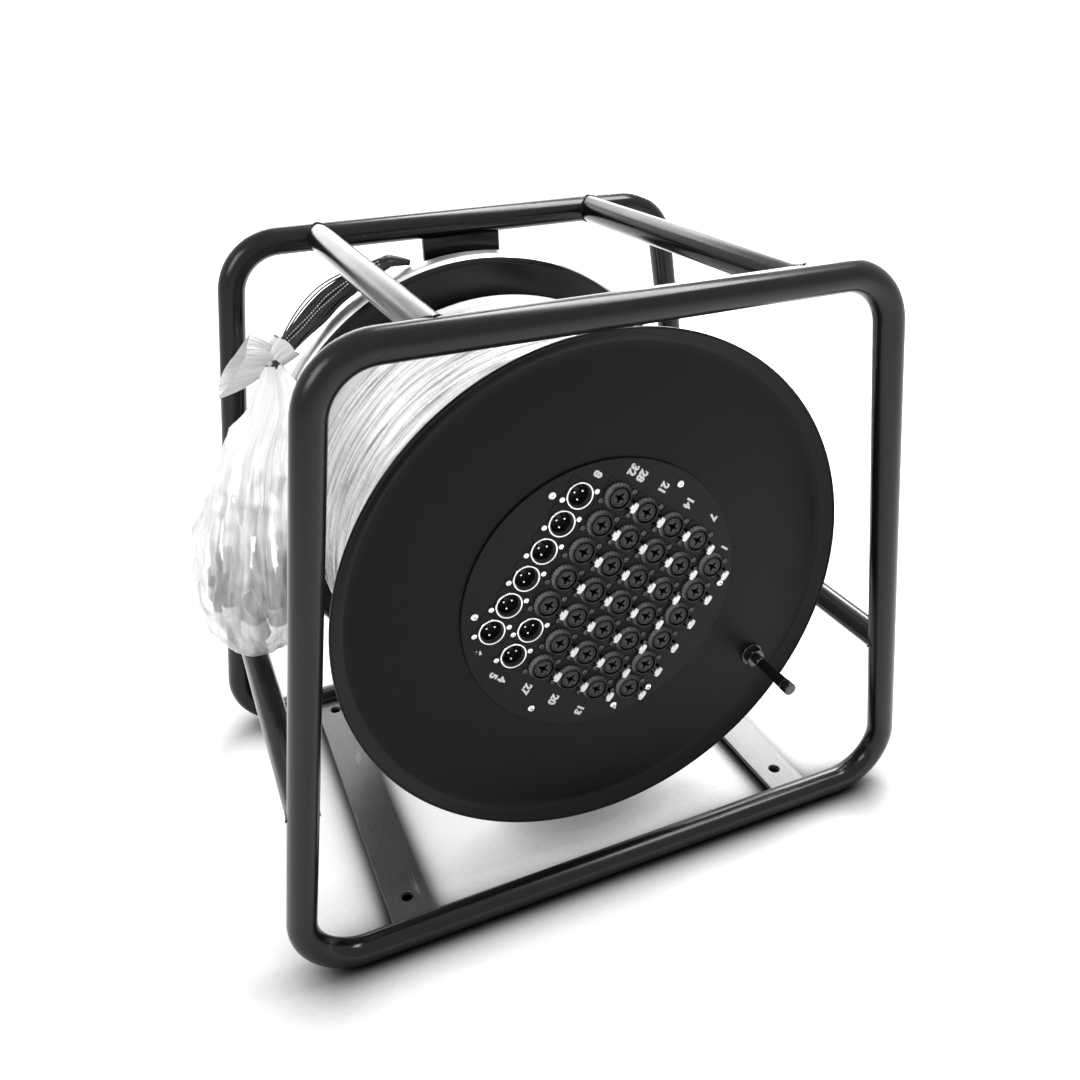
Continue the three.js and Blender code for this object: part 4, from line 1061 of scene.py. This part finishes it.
def make_lead_strands():
    """The tails of the lead: a bundle that spreads past the lip and closes at the bag's neck."""
    centre, outward, share = lead_frame(90)
    rearward = np.array([[0.0, 1.0, 0.0]])
    spread = np.sin(np.pi * np.clip((share - 0.15) / 0.85, 0, 1)) ** 0.7
    gather = 0.25 + 0.75 * np.clip(share / 0.14, 0, 1)
    places = [(-2.6, 2.6), (0.0, 4.2), (2.8, 3.2), (4.2, 0.0), (3.0, -3.0), (0.4, -4.3), (-2.4, -3.2),
              (6.5, 4.6), (7.6, 1.2), (6.6, -2.4), (3.6, 7.0), (9.6, 3.4), (10.6, 0.2), (9.4, -2.8),
              (-2.2, 6.6), (-4.4, 4.4), (-6.3, 1.6), (-8.4, 0.0), (-6.0, -2.0), (-8.0, 4.0)]
    paths = []
    for number, (out, rear) in enumerate(places):
        wave = 0.5 * np.sin(share * 21 + number * 1.7)
        core = min(max(out, -4.4), 4.3)
        reach = (core + wave) * gather + (out - core) * spread
        back = rear * (0.45 + 0.55 * spread) * gather
        paths.append(centre + outward * reach[:, None] + rearward * back[:, None])
    bundle = make_tubes("tail_lead_strands", paths, 1.7, 10, TAIL_BLACK, "frame")
    strays = []
    bow = np.sin(np.pi * np.clip((share - 0.2) / 0.8, 0, 1))
    for number, out in enumerate((12.6, 14.4, 17.0)):
        aside, back = out * bow ** 0.8, 2.0 * number * bow
        strays.append((centre + outward * aside[:, None] + rearward * back[:, None])[10:])
    loose = make_tubes("tail_lead_strays", strays, 0.8, 8, TAIL_BLACK, "frame")
    # White dots along two of the tails: painted glints, standing for the highlights on the tails' braided
    # sleeves
    glint_spots = []
    for path in (paths[4], paths[9]):
        glint_spots += bead_places(path[17:] - rearward * 1.6 + outward[17:] * 0.4, 3.0)
    glint_dot = ring_stack([(0.3, -0.9), (0.55, -0.5), (0.55, 0.5), (0.3, 0.9)], 6, True, True)
    unit = (glint_dot[0][:, [0, 2, 1]], flipped(glint_dot)[1])
    painted_glints = make_units("tail_tracer_stitches", glint_spots, unit, COVER_WHITE, "frame", 0.8, 2)
    return [bundle, loose, painted_glints]


lead_strands = make_lead_strands()


# Socket panel
def socket_places():
    places = []
    for column in range(6):
        outer = column in (0, 5)
        rows, rise = (6, 2.0) if outer else (7, 2.8)
        for row in range(rows):
            across = (column - 2.5) * COLUMN_PITCH
            up = rise - (row - (rows - 1) / 2) * ROW_PITCH
            places.append((across, up, column, column == 0 or (column == 1 and row >= 5)))
    return places


SOCKETS = socket_places()
COMBOS = [place for place in SOCKETS if not place[3]]
INLETS = [place for place in SOCKETS if place[3]]
DRUM_TURN = Matrix(((math.cos(REST), 0, math.sin(REST)), (0, 1, 0), (-math.sin(REST), 0, math.cos(REST))))


def drum_places(spots, depth):
    return [(on_drum(across, depth, up), DRUM_TURN) for across, up in spots]


def latch_slot(across, up):
    return [(across + LATCH_OFFSET + a, up - LATCH_DROP + u) for a, u in rounded_box(3.45, 4.85, 0.8, 3)]


def make_panel():
    holes = [circle(across, up, SOCKET_HOLE, 40) for across, up, _, _ in SOCKETS]
    holes += [latch_slot(across, up) for across, up, _, _ in COMBOS]
    points, faces = plate(circle(0.0, 0.0, PANEL, 240), holes, PANEL_FRONT, PANEL_BACK, 0.35)
    turned = np.array([on_drum(*p) for p in points])
    piece = make_piece("socket_panel_disc", turned, faces, PANEL_BLACK, "drum", "socket_black", angle=25)
    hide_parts("connector_panel")


make_panel()


def mounting_plate(cut_short):
    """A socket's own plate: rounded corners, a hole for the barrel and notches for the latches."""
    outline = rounded_box(SOCKET_SIDE, 12.9, 2.6, 5)
    top, foot = -LATCH_DROP + 5.0, -LATCH_DROP - 5.0
    if cut_short:
        outline = [(max(a, -12.1), u) for a, u in outline]
    shaped = []
    for index, point in enumerate(outline):
        shaped.append(point)
        following = outline[(index + 1) % len(outline)]
        if point[0] > 15.0 and following[0] > 15.0 and point[1] < 0 < following[1]:
            shaped += [(SOCKET_SIDE, foot), (12.0, foot), (12.0, top), (SOCKET_SIDE, top)]
        if not cut_short and point[0] < -15.0 and following[0] < -15.0 and point[1] > 0 > following[1]:
            shaped += [(-SOCKET_SIDE, top), (-12.4, top), (-12.4, foot), (-SOCKET_SIDE, foot)]
    return plate(shaped, [circle(0.0, 0.0, SOCKET_HOLE, 40)], -0.5, 0.1, 0.2)


def make_mounting_plates():
    for name, at_edge in (("socket_plates", False), ("socket_plates_edge", True)):
        spots = [(a, u) for a, u, column, _ in SOCKETS if (column == 5) == at_edge]
        make_units(name, drum_places(spots, PANEL_FRONT), mounting_plate(at_edge), PANEL_BLACK, "drum",
                   angle=25)


make_mounting_plates()


def star_radii(steps, middle, lobe, reach, angles):
    """Radii of a hole with round lobes, as a ring of steps."""
    turn = np.arange(steps) * 2 * math.pi / steps
    radii = np.full(steps, float(middle))
    for lobe_angle in angles:
        apart = (turn - math.radians(lobe_angle) + math.pi) % (2 * math.pi) - math.pi
        inside = lobe ** 2 - (reach * np.sin(apart)) ** 2
        found = np.where((inside > 0) & (np.abs(apart) < math.pi / 2),
                         reach * np.cos(apart) + np.sqrt(np.maximum(inside, 0)), 0)
        radii = np.maximum(radii, found)
    return radii


def combo_barrel():
    """The barrel of a combination socket: its ribbed side, then its chamfer, land and ring groove."""
    steps = 96
    rib = np.where(np.arange(steps) % 4 < 2, 12.0, 11.4)
    side = [(11.3, 12.0), (11.3, 0.0), (rib, -0.2), (rib - 0.1, -1.6), (rib - 0.9, -3.5),
            (rib - 1.35, -4.8)]
    face = [(11.0, -4.6), (10.2, -COMBO_PROUD), (9.95, -COMBO_PROUD), (9.7, -5.2), (9.6, 0.5), (8.2, 0.5)]
    return ring_stack(side, steps), ring_stack(face, steps)


def combo_insert():
    """The insert: a rounded boss with a notched collar, one large hole, three lobes and a key slot."""
    steps = 96
    hole = star_radii(steps, 2.3, 1.15, 3.6, (0, 78, 180, -78))
    notch = np.where(np.arange(steps) % 8 < 2, -3.75, -4.25)
    rings = [(8.2, 0.6), (8.3, 0.5), (8.3, -3.9), (8.1, -4.5), (7.5, -4.9), (6.9, -4.9), (6.6, -4.6),
             (6.4, notch), (6.0, notch), (5.85, -4.35), (hole + 0.3, -4.4), (hole + 0.05, -4.2),
             (hole, -3.8), (hole, 9.5)]
    return ring_stack(rings, steps, last_cap=True)


def make_combos():
    places = drum_places([(a, u) for a, u, _, _ in COMBOS], PANEL_FRONT)
    side, face = combo_barrel()
    # The ribbed sides take a paler grey than the faces: painted light
    make_units("combo_barrel_sides", places, side, BARREL_SIDE_PAINTED_LIGHT, "drum", angle=20)
    make_units("combo_barrel_faces", places, face, SOCKET_BLACK, "drum", angle=30)
    make_units("combo_inserts", places, combo_insert(), INSERT_BLACK, "drum", angle=30)


make_combos()


def make_inlets():
    places = drum_places([(a, u) for a, u, _, _ in INLETS], PANEL_FRONT)
    ring = ring_stack([(11.3, 2.0), (11.9, 0.0), (11.95, -1.4), (11.7, -1.85), (11.3, -INLET_PROUD),
                       (10.9, -INLET_PROUD), (10.6, -1.8), (10.5, -1.2), (10.5, 0.5)], 64)
    make_units("inlet_rings", places, ring, BRIGHT_NICKEL, "drum", angle=30)
    flute = np.where(np.arange(72) % 3 == 0, 9.75, 9.45)
    well = ring_stack([(10.5, 0.2), (10.5, -1.1), (10.2, -1.3), (flute, -0.9), (flute, 0.8), (9.15, 1.2),
                       (9.15, 10.4), (8.8, 10.8)], 72, last_cap=True)
    make_units("inlet_wells", places, well, SOCKET_BLACK, "drum", angle=30)
    pin = ring_stack([(1.2, 11.0), (1.2, 2.4), (1.1, 1.7), (0.8, 1.2), (0.4, 1.02)], 16, last_cap=True)
    pins = []
    for angle in (180, 70, -70):
        spot = PIN_CIRCLE * math.cos(math.radians(angle)), 0, PIN_CIRCLE * math.sin(math.radians(angle))
        pins.append(moved(pin, spot))
    make_units("inlet_pins", places, joined(pins), BRIGHT_NICKEL, "drum", angle=40)


make_inlets()


def cross_radii(steps, reach, half):
    """Radii of a cross-shaped recess."""
    turn = np.arange(steps) * 2 * math.pi / steps
    across, up = np.abs(np.cos(turn)) + 1e-9, np.abs(np.sin(turn)) + 1e-9
    return np.maximum(np.minimum(reach / across, half / up), np.minimum(half / across, reach / up))


def screw(radius, height):
    """A pan head screw with a cross recess, its head towards -Y from zero."""
    steps = 48
    recess = cross_radii(steps, radius * 0.56, radius * 0.14)
    rings = [(radius, 0.2), (radius, -height * 0.35), (radius * 0.94, -height * 0.68),
             (radius * 0.78, -height * 0.92), (np.maximum(recess + 0.12, radius * 0.64), -height),
             (recess, -height), (recess * 0.8, -height * 0.3)]
    return ring_stack(rings, steps, last_cap=True)


def make_screws():
    dark = [(a + da, u + du) for a, u, _, _ in COMBOS for da, du in SCREW_SPOTS]
    pale = [(a + da, u + du) for a, u, _, _ in INLETS for da, du in SCREW_SPOTS]
    angles = [math.radians(a) for a in (30, 90, 150, 210, 270, 330, -48)]
    around = [(SCREW_CIRCLE * math.cos(a), SCREW_CIRCLE * math.sin(a)) for a in angles]
    for name, spots, depth, head, finish in (
            ("combo_screws", dark, PANEL_FRONT - 0.5, screw(2.5, 1.1), DARK_SCREW),
            ("inlet_screws", pale, PANEL_FRONT - 0.5, screw(2.5, 1.1), BRIGHT_NICKEL),
            ("panel_screws", around, PANEL_FRONT, screw(3.4, 2.2), BRIGHT_NICKEL)):
        make_units(name, drum_places(spots, depth), head, finish, "drum", angle=30)


make_screws()


def latch_shape():
    """A press latch: a stem through the slot, a wide pad, and a narrow lug towards the barrel."""
    outline = [(-3.1, -3.9), (-2.7, -4.4), (-0.9, -4.4), (0.8, -3.9), (2.2, -2.6), (2.9, -1.2), (3.1, 0.0),
               (2.9, 1.2), (2.2, 2.6), (0.8, 3.9), (-0.9, 4.4), (-2.7, 4.4), (-3.1, 3.9)]
    stem = plate([(a * 0.72, u * 0.6) for a, u in outline], [], -6.6, 3.5, 0.4)
    half = [(-0.9, -4.4), (-0.3, -4.9), (2.3, -4.9), (3.4, -4.1), (3.9, -1.6)]
    pad = plate(half + [(a, -u) for a, u in reversed(half)], [], -7.3, -5.9, 0.4)
    lug = [(-3.15, -1.9), (-2.8, -2.2), (-0.7, -2.2)]
    cap = plate(lug + [(a, -u) for a, u in reversed(lug)], [], -8.0, -6.2, 0.3)
    return joined([stem, pad, cap])


def make_latches():
    points, faces = latch_shape()
    for number, (across, up, _, _) in enumerate(COMBOS, 1):
        middle, height = across + LATCH_OFFSET, up - LATCH_DROP
        placed = [on_drum(a + middle, y + PANEL_FRONT, u + height) for a, y, u in points]
        node = f"latch_{number:02d}"
        piece = make_piece(node + "_tab", placed, faces, LATCH_METAL, node, "latch_metal", angle=30)
        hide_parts(node)


make_latches()


def make_print():
    """Plain numbers beside the outer sockets."""
    labels = [("8", -75.4, 90.5), ("32", -48.5, 107.5), ("28", -37.9, 106.8), ("21", -12.5, 107.0),
              ("14", 19.4, 106.8), ("7", 51.0, 106.3), ("1", 82.5, 88.0), ("6", -79.6, -86.0),
              ("5", -53.0, -101.0), ("4", -43.6, -101.3), ("27", -15.9, -101.8), ("20", 16.0, -102.5),
              ("13", 48.0, -103.5), ("6", 79.7, -89.1)]
    for number, (text, across, up) in enumerate(labels, 1):
        name = f"number_{number:02d}"
        curve = bpy.data.curves.new(name, "FONT")
        curve.body = text
        curve.size = PRINT_HIGH
        curve.offset = 0.55
        curve.align_x = "CENTER"
        curve.align_y = "CENTER"
        curve.extrude = 0.03
        holder = new_object(name + "_text", curve)
        mesh = bpy.data.meshes.new_from_object(holder.evaluated_get(bpy.context.evaluated_depsgraph_get()))
        bpy.data.objects.remove(holder)
        flat = np.array([v.co for v in mesh.vertices], float)
        # The numbers read down the panel: their line runs along -up and their tops point along +across
        placed = [on_drum(across + y, PANEL_FRONT - 0.06 - z, up - x) for x, y, z in flat]
        mesh.vertices.foreach_set("co", (np.array(placed) * MM).astype(np.float32).ravel())
        mesh.materials.clear()
        mesh.materials.append(INK)
        mesh.update()
        riding_piece(name, mesh, "drum")


make_print()


# Crank
def make_crank():
    place = on_drum(CRANK[0], 0.0, CRANK[1])
    washer = ring_stack([(2.6, -138.0), (10.8, -138.0), (11.0, -138.3), (11.0, -139.2), (10.7, -139.6),
                         (2.6, -139.6)], 64, joined=True)
    nut = hex_nut(19.4, -146.6, -139.4, 2.5)
    stem = ring_stack([(4.9, -134.8), (4.9, -138.6)], 32, True, True)
    pin = ring_stack([(2.5, -139.0), (2.5, -194.5)], 24, True, True)
    parts = [washer, flipped(nut), flipped(stem), flipped(pin)]
    shape = joined([moved(part, place) for part in parts])
    piece = make_piece("crank_stud_nut", *shape, DARK_SCREW, "drum", "crank_steel", angle=28)
    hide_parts("crank_stud")
    rings = [(2.9, -147.0), (4.6, -147.0), (5.0, -147.4), (5.0, -153.4), (4.7, -154.0), (4.35, -154.6)]
    rings += [(4.4, -160.0), (4.75, -170.0), (5.3, -182.0), (5.7, -190.0), (5.9, -191.6), (5.35, -192.0),
              (5.35, -192.6), (6.0, -193.0), (6.0, -199.8), (5.7, -200.6), (5.0, -201.0), (3.0, -201.0)]
    grip = ring_stack(rings, 64, last_cap=True)
    handle = make_piece("crank_grip_turned", *moved(grip, place), GRIP_BLACK, "grip", "grip_plastic",
                        angle=30)
    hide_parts("crank_grip")


make_crank()


# Bag over the ends of the tails. The lengths of film are in metres, for its pattern.
BAG_METRES = 0.24
MOUTH_METRES = 0.05
COLLAR_METRES = 0.03
MOUTH_END = np.array([-243.0, 144.0, 435.0])
TIED_RADIUS = 6.8


def film_tube(name, rings, lengths, closed_end):
    """A tube of film through rings of points. Its UV map gives turns round it and metres down it."""
    sides = len(rings[0])
    points = np.concatenate(rings)
    faces, uvs = [], []
    for i in range(len(rings) - 1):
        for j in range(sides):
            side = (j + 1) % sides
            faces.append((i * sides + j, (i + 1) * sides + j, (i + 1) * sides + side, i * sides + side))
            low, high = j / sides, (j + 1) / sides
            uvs += [(low, lengths[i]), (low, lengths[i + 1]), (high, lengths[i + 1]), (high, lengths[i])]
    if closed_end:
        faces += cap_faces(len(points), (len(rings) - 1) * sides, sides, True)
        points = np.vstack([points, rings[-1].mean(0)])
        uvs += [(0.5, lengths[-1])] * (3 * sides)
    return make_piece(name, points, faces, POLYTHENE, "frame", "bag_film", uvs=uvs, angle=80)


def crumple(point, size, seed):
    """A creased height in millimetres at a point: ridged noise, drawn out down the bag."""
    spot = Vector((point[0], point[1], point[2] * 0.5)) / size + Vector((seed, seed * 2.3, seed * 0.7))
    return noise.ridged_multi_fractal(spot, 0.9, 2.1, 3, 1.0, 2.0) - 1.1


def make_bag():
    sides = 180
    turn = np.arange(sides) * 2 * math.pi / sides
    out = np.stack([np.cos(turn), np.sin(turn), np.zeros(sides)], 1)
    levels = np.concatenate([np.linspace(0.0, 0.9, 76), np.linspace(0.9, 1.0, 14)[1:]])
    rings = []
    for down in levels:
        centre, wide, deep = bag_section(down)
        gather = math.exp(-down * 7.0)
        pleat = gather * (0.12 * np.sin(7 * turn + 2.0 * down) + 0.06 * np.sin(12 * turn + 1.3))
        sag = (1 - gather) * (0.03 * np.sin(3 * turn + 9 * down) + 0.022 * np.sin(5 * turn - 14 * down + 1))
        size = 1 + pleat + sag
        across, along = np.cos(turn) * wide / 2 * size, np.sin(turn) * deep / 2 * size
        ring = centre + np.outer(across, [1, 0, 0]) + np.outer(along, [0, 1, 0])
        ripple = np.array([crumple(p, 55.0, 3.0) * 6.0 + crumple(p, 21.0, 7.0) * 2.0 for p in ring])
        reach = np.clip(wide / 60.0, 0.2, 1.0)
        rings.append(ring + out * (ripple * reach)[:, None])
    rings = [np.stack([r[:, 0], r[:, 1], np.maximum(r[:, 2], BAG_FLOOR)], 1) for r in rings]
    body = film_tube("bag_film", rings, levels * BAG_METRES, True)
    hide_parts("tail_bag")
    return body


def fan(start, end, wide, deep, slant, pleats, seed, count):
    """Rings of gathered film that open from the neck to a loose mouth."""
    sides = 140
    turn = np.arange(sides) * 2 * math.pi / sides
    major = np.array([math.cos(slant), 0.0, math.sin(slant)])
    onward = (end - start) / np.linalg.norm(end - start)
    minor = np.cross(major, onward)
    rings = []
    for share in np.linspace(0, 1, count):
        open_wide = TIED_RADIUS + (wide - TIED_RADIUS) * share ** 0.5
        open_deep = TIED_RADIUS + (deep - TIED_RADIUS) * share ** 0.9
        fold = 1 + (0.08 - 0.04 * share) * np.sin(pleats * turn + seed)
        fold += 0.04 * share * np.sin(3 * turn + seed * 2)
        edge = share ** 3 * 1.6 * np.sin(3 * turn + seed)
        middle = start + (end - start) * share
        ring = middle + np.outer(np.cos(turn) * open_wide * fold, major)
        ring += np.outer(np.sin(turn) * open_deep * fold, minor)
        rings.append(ring + np.outer(edge, onward))
    return rings


def make_bag_mouth():
    """The film above the tie: a wide mouth to the left, and a collar round the tails to the right."""
    mouth = fan(NECK, MOUTH_END, 34.0, 11.0, math.radians(54), 7, 0.8, 26)
    flare = film_tube("bag_mouth", mouth, -MOUTH_METRES * np.linspace(0, 1, 26), False)
    collar_end = NECK - LEAD_ALONG * 1.0 + (LEAD[-4] - LEAD[-1]) * 0.95
    collar = fan(NECK, collar_end, 15.0, 12.0, math.radians(-48), 5, 2.1, 14)
    sleeve = film_tube("bag_collar", collar, -COLLAR_METRES * np.linspace(0, 1, 14), False)
    return [flare, sleeve]


def make_bag_contents():
    """The tails' ends: pale sleeves that fan down from the neck to plugs with white dust caps. Their pale
    colour is partly painted light on the tails through the film.
    """
    generator = np.random.default_rng(5)
    paths, plugs = [], []
    spots = [(2 * math.pi * k / 10, 0.70, 0.80 + 0.045 * (k % 2)) for k in range(10)]
    spots += [(2 * math.pi * (k + 0.4) / 5, 0.30, 0.84 + 0.04 * (k % 2)) for k in range(5)]
    for turn, spread, bottom in spots:
        path = []
        for share in np.linspace(0.03, bottom - 0.16, 22):
            centre, wide, deep = bag_section(share)
            out = spread * min(1.0, share * 1.9)
            sway = 2.5 * math.sin(share * 15 + turn * 3)
            path.append(centre + np.array([math.cos(turn) * (wide / 2 * out) + sway * 0.6,
                                           math.sin(turn) * (deep / 2 * out) + sway * 0.5, 0.0]))
        paths.append(path)
        lean_x, lean_y = generator.uniform(-0.16, 0.16), generator.uniform(-0.16, 0.16)
        direction = Vector((lean_x, lean_y, -1.0)).normalized()
        spot = np.array(path[-1]) + np.array(direction) * 2.0
        plugs.append((spot, direction.to_track_quat("Y", "Z").to_matrix()))
    boot = [(2.6, -4.0), (3.6, -3.6), (4.4, 2.0), (4.9, 6.0)]
    for k in range(4):
        boot += [(5.2, 7.0 + k * 2.2), (5.6, 7.6 + k * 2.2), (5.3, 8.6 + k * 2.2)]
    boot += [(8.0, 16.5), (8.4, 17.5), (8.4, 34.0)]
    shell = ring_stack(boot, 28, True, True)
    cover = [(8.4, 33.0), (8.9, 33.4), (9.0, 34.5), (9.0, 50.0), (8.6, 51.6), (7.4, 52.4)]
    cap = ring_stack(cover, 32, True, True)
    return [make_tubes("tail_ends", paths, 2.3, 12, TAIL_ENDS_PALE_AND_LIT, "frame"),
            make_units("tail_plugs", plugs, flipped(shell), SOCKET_BLACK, "frame",
                       least=0.94, seed=3, angle=40),
            make_units("dust_caps", plugs, flipped(cap), COVER_WHITE, "frame",
                       least=0.94, seed=3, angle=40)]


def make_bag_tie():
    """A thin tie wound round the neck, square to the lead."""
    axis = Vector(LEAD_ALONG)
    first = axis.cross(Vector((0, 1, 0))).normalized()
    second = axis.cross(first)
    path = []
    for share in np.linspace(0, 1, 90):
        turn = share * 3.2 * 2 * math.pi
        spot = (first * math.cos(turn) + second * math.sin(turn)) * 7.7 + axis * ((share - 0.5) * 5.0)
        path.append(NECK + np.array(spot))
    return make_tubes("bag_tie", [path], 0.9, 8, COVER_WHITE, "frame")


bag = make_bag()
bag_parts = [*make_bag_mouth(), *make_bag_contents(), make_bag_tie()]


# Floor, backdrop and light
def seen_white(tree):
    """1 for rays from the camera, through the film or off a gloss, and 0 for the rest."""
    path = add_node(tree, "ShaderNodeLightPath")
    seen = add_node(tree, "ShaderNodeMath", {"operation": "MAXIMUM"}, {
        0: (path, "Is Camera Ray"), 1: (path, "Is Transmission Ray")})
    return add_node(tree, "ShaderNodeMath", {"operation": "MAXIMUM"}, {
        0: (seen, "Value"), 1: (path, "Is Glossy Ray")})


def white_paper():
    # Matt white paper: it lights the object from below as paper does, the camera sees it white
    # further out, and a painted shadow darkens its colour and its glow softly where the object comes close
    material, tree = new_material("white_paper_floor")
    shown = seen_white(tree)
    place = add_node(tree, "ShaderNodeTexCoord")
    distance = add_node(tree, "ShaderNodeVectorMath", {"operation": "LENGTH"}, {0: (place, "Object")})
    outward = add_node(tree, "ShaderNodeMapRange", {"interpolation_type": "SMOOTHSTEP"}, {
        "Value": (distance, "Value"), "From Min": 0.4, "From Max": 0.85, "To Min": 0.7, "To Max": 1.0})
    lift = add_node(tree, "ShaderNodeMath", {"operation": "MULTIPLY"}, {
        0: (shown, "Value"), 1: (outward, "Result")})
    fibre = add_node(tree, "ShaderNodeTexNoise", inputs={
        "Vector": (place, "Object"), "Scale": per_mm(30), "Detail": 2.0})
    tone = add_node(tree, "ShaderNodeMix", {"data_type": "RGBA"}, {
        "Factor": (fibre, "Fac"), 6: linear("#cdcdcd"), 7: linear("#d3d3d3")})
    # Painted shadow: the occlusion darkens the paper's colour and its glow near the object
    painted_shadow_occlusion = add_node(tree, "ShaderNodeAmbientOcclusion", {"samples": 16}, {"Distance": 0.09})
    deep = add_node(tree, "ShaderNodeMath", {"operation": "POWER"}, {0: (painted_shadow_occlusion, "AO"), 1: 4.4})
    shaded = add_node(tree, "ShaderNodeVectorMath", {"operation": "SCALE"}, {
        0: (tone, 2), "Scale": (deep, "Value")})
    paper = add_node(tree, "ShaderNodeBsdfDiffuse", inputs={"Color": (shaded, "Vector")})
    glow_in_painted_shadow = add_node(tree, "ShaderNodeMath", {"operation": "MULTIPLY"}, {
        0: (lift, "Value"), 1: (deep, "Value")})
    glow = add_node(tree, "ShaderNodeEmission", inputs={
        "Color": linear("#ffffff"), "Strength": (glow_in_painted_shadow, "Value")})
    total = add_node(tree, "ShaderNodeAddShader", inputs={0: (paper, "BSDF"), 1: (glow, "Emission")})
    add_node(tree, "ShaderNodeOutputMaterial", inputs={"Surface": (total, "Shader")})
    return material


def make_floor():
    reach = 60.0
    corners = [(-reach, -reach, 0), (reach, -reach, 0), (reach, reach, 0), (-reach, reach, 0)]
    mesh = bpy.data.meshes.new("studio_floor")
    mesh.from_pydata(corners, [], [(0, 1, 2, 3)])
    mesh.materials.append(white_paper())
    floor = new_object("studio_floor", mesh)


def make_backdrop():
    world = bpy.data.worlds.new("studio")
    bpy.context.scene.world = world
    world.use_nodes = True
    tree = world.node_tree
    tree.nodes.clear()
    shown = seen_white(tree)
    strength = add_node(tree, "ShaderNodeMath", {"operation": "MAXIMUM"}, {0: (shown, "Value"), 1: 0.4})
    back = add_node(tree, "ShaderNodeBackground", inputs={
        "Color": linear("#ffffff"), "Strength": (strength, "Value")})
    add_node(tree, "ShaderNodeOutputWorld", inputs={"Surface": (back, "Background")})


def add_light(name, place, target, wide, high, radiance):
    """A soft box of a given radiance, aimed at a point."""
    data = bpy.data.lights.new(name, "AREA")
    data.shape = "RECTANGLE"
    data.size = wide
    data.size_y = high
    data.energy = radiance * wide * high * math.pi
    light = new_object(name, data)
    light.location = place
    light.rotation_mode = "QUATERNION"
    light.rotation_quaternion = (Vector(target) - Vector(place)).to_track_quat("-Z", "Y")


make_floor()
make_backdrop()
add_light("overhead_box", (0.85, 0.15, 2.3), (0.5, 0.0, 0.3), 2.0, 0.55, 22.0)
add_light("back_low_box", (0.6, 2.4, 1.05), (0.0, 0.0, 0.4), 3.2, 0.8, 3.5)
add_light("back_high_box", (0.3, 2.4, 1.95), (0.1, 0.0, 0.5), 2.0, 0.45, 5.5)
add_light("back_right_box", (1.8, 1.8, 1.75), (0.2, -0.1, 0.0), 1.0, 0.8, 22.0)
add_light("left_box", (-1.8, -0.8, 1.7), (0.0, 0.0, 0.3), 0.9, 0.9, 9.0)

bpy.context.scene.view_settings.view_transform = "Standard"
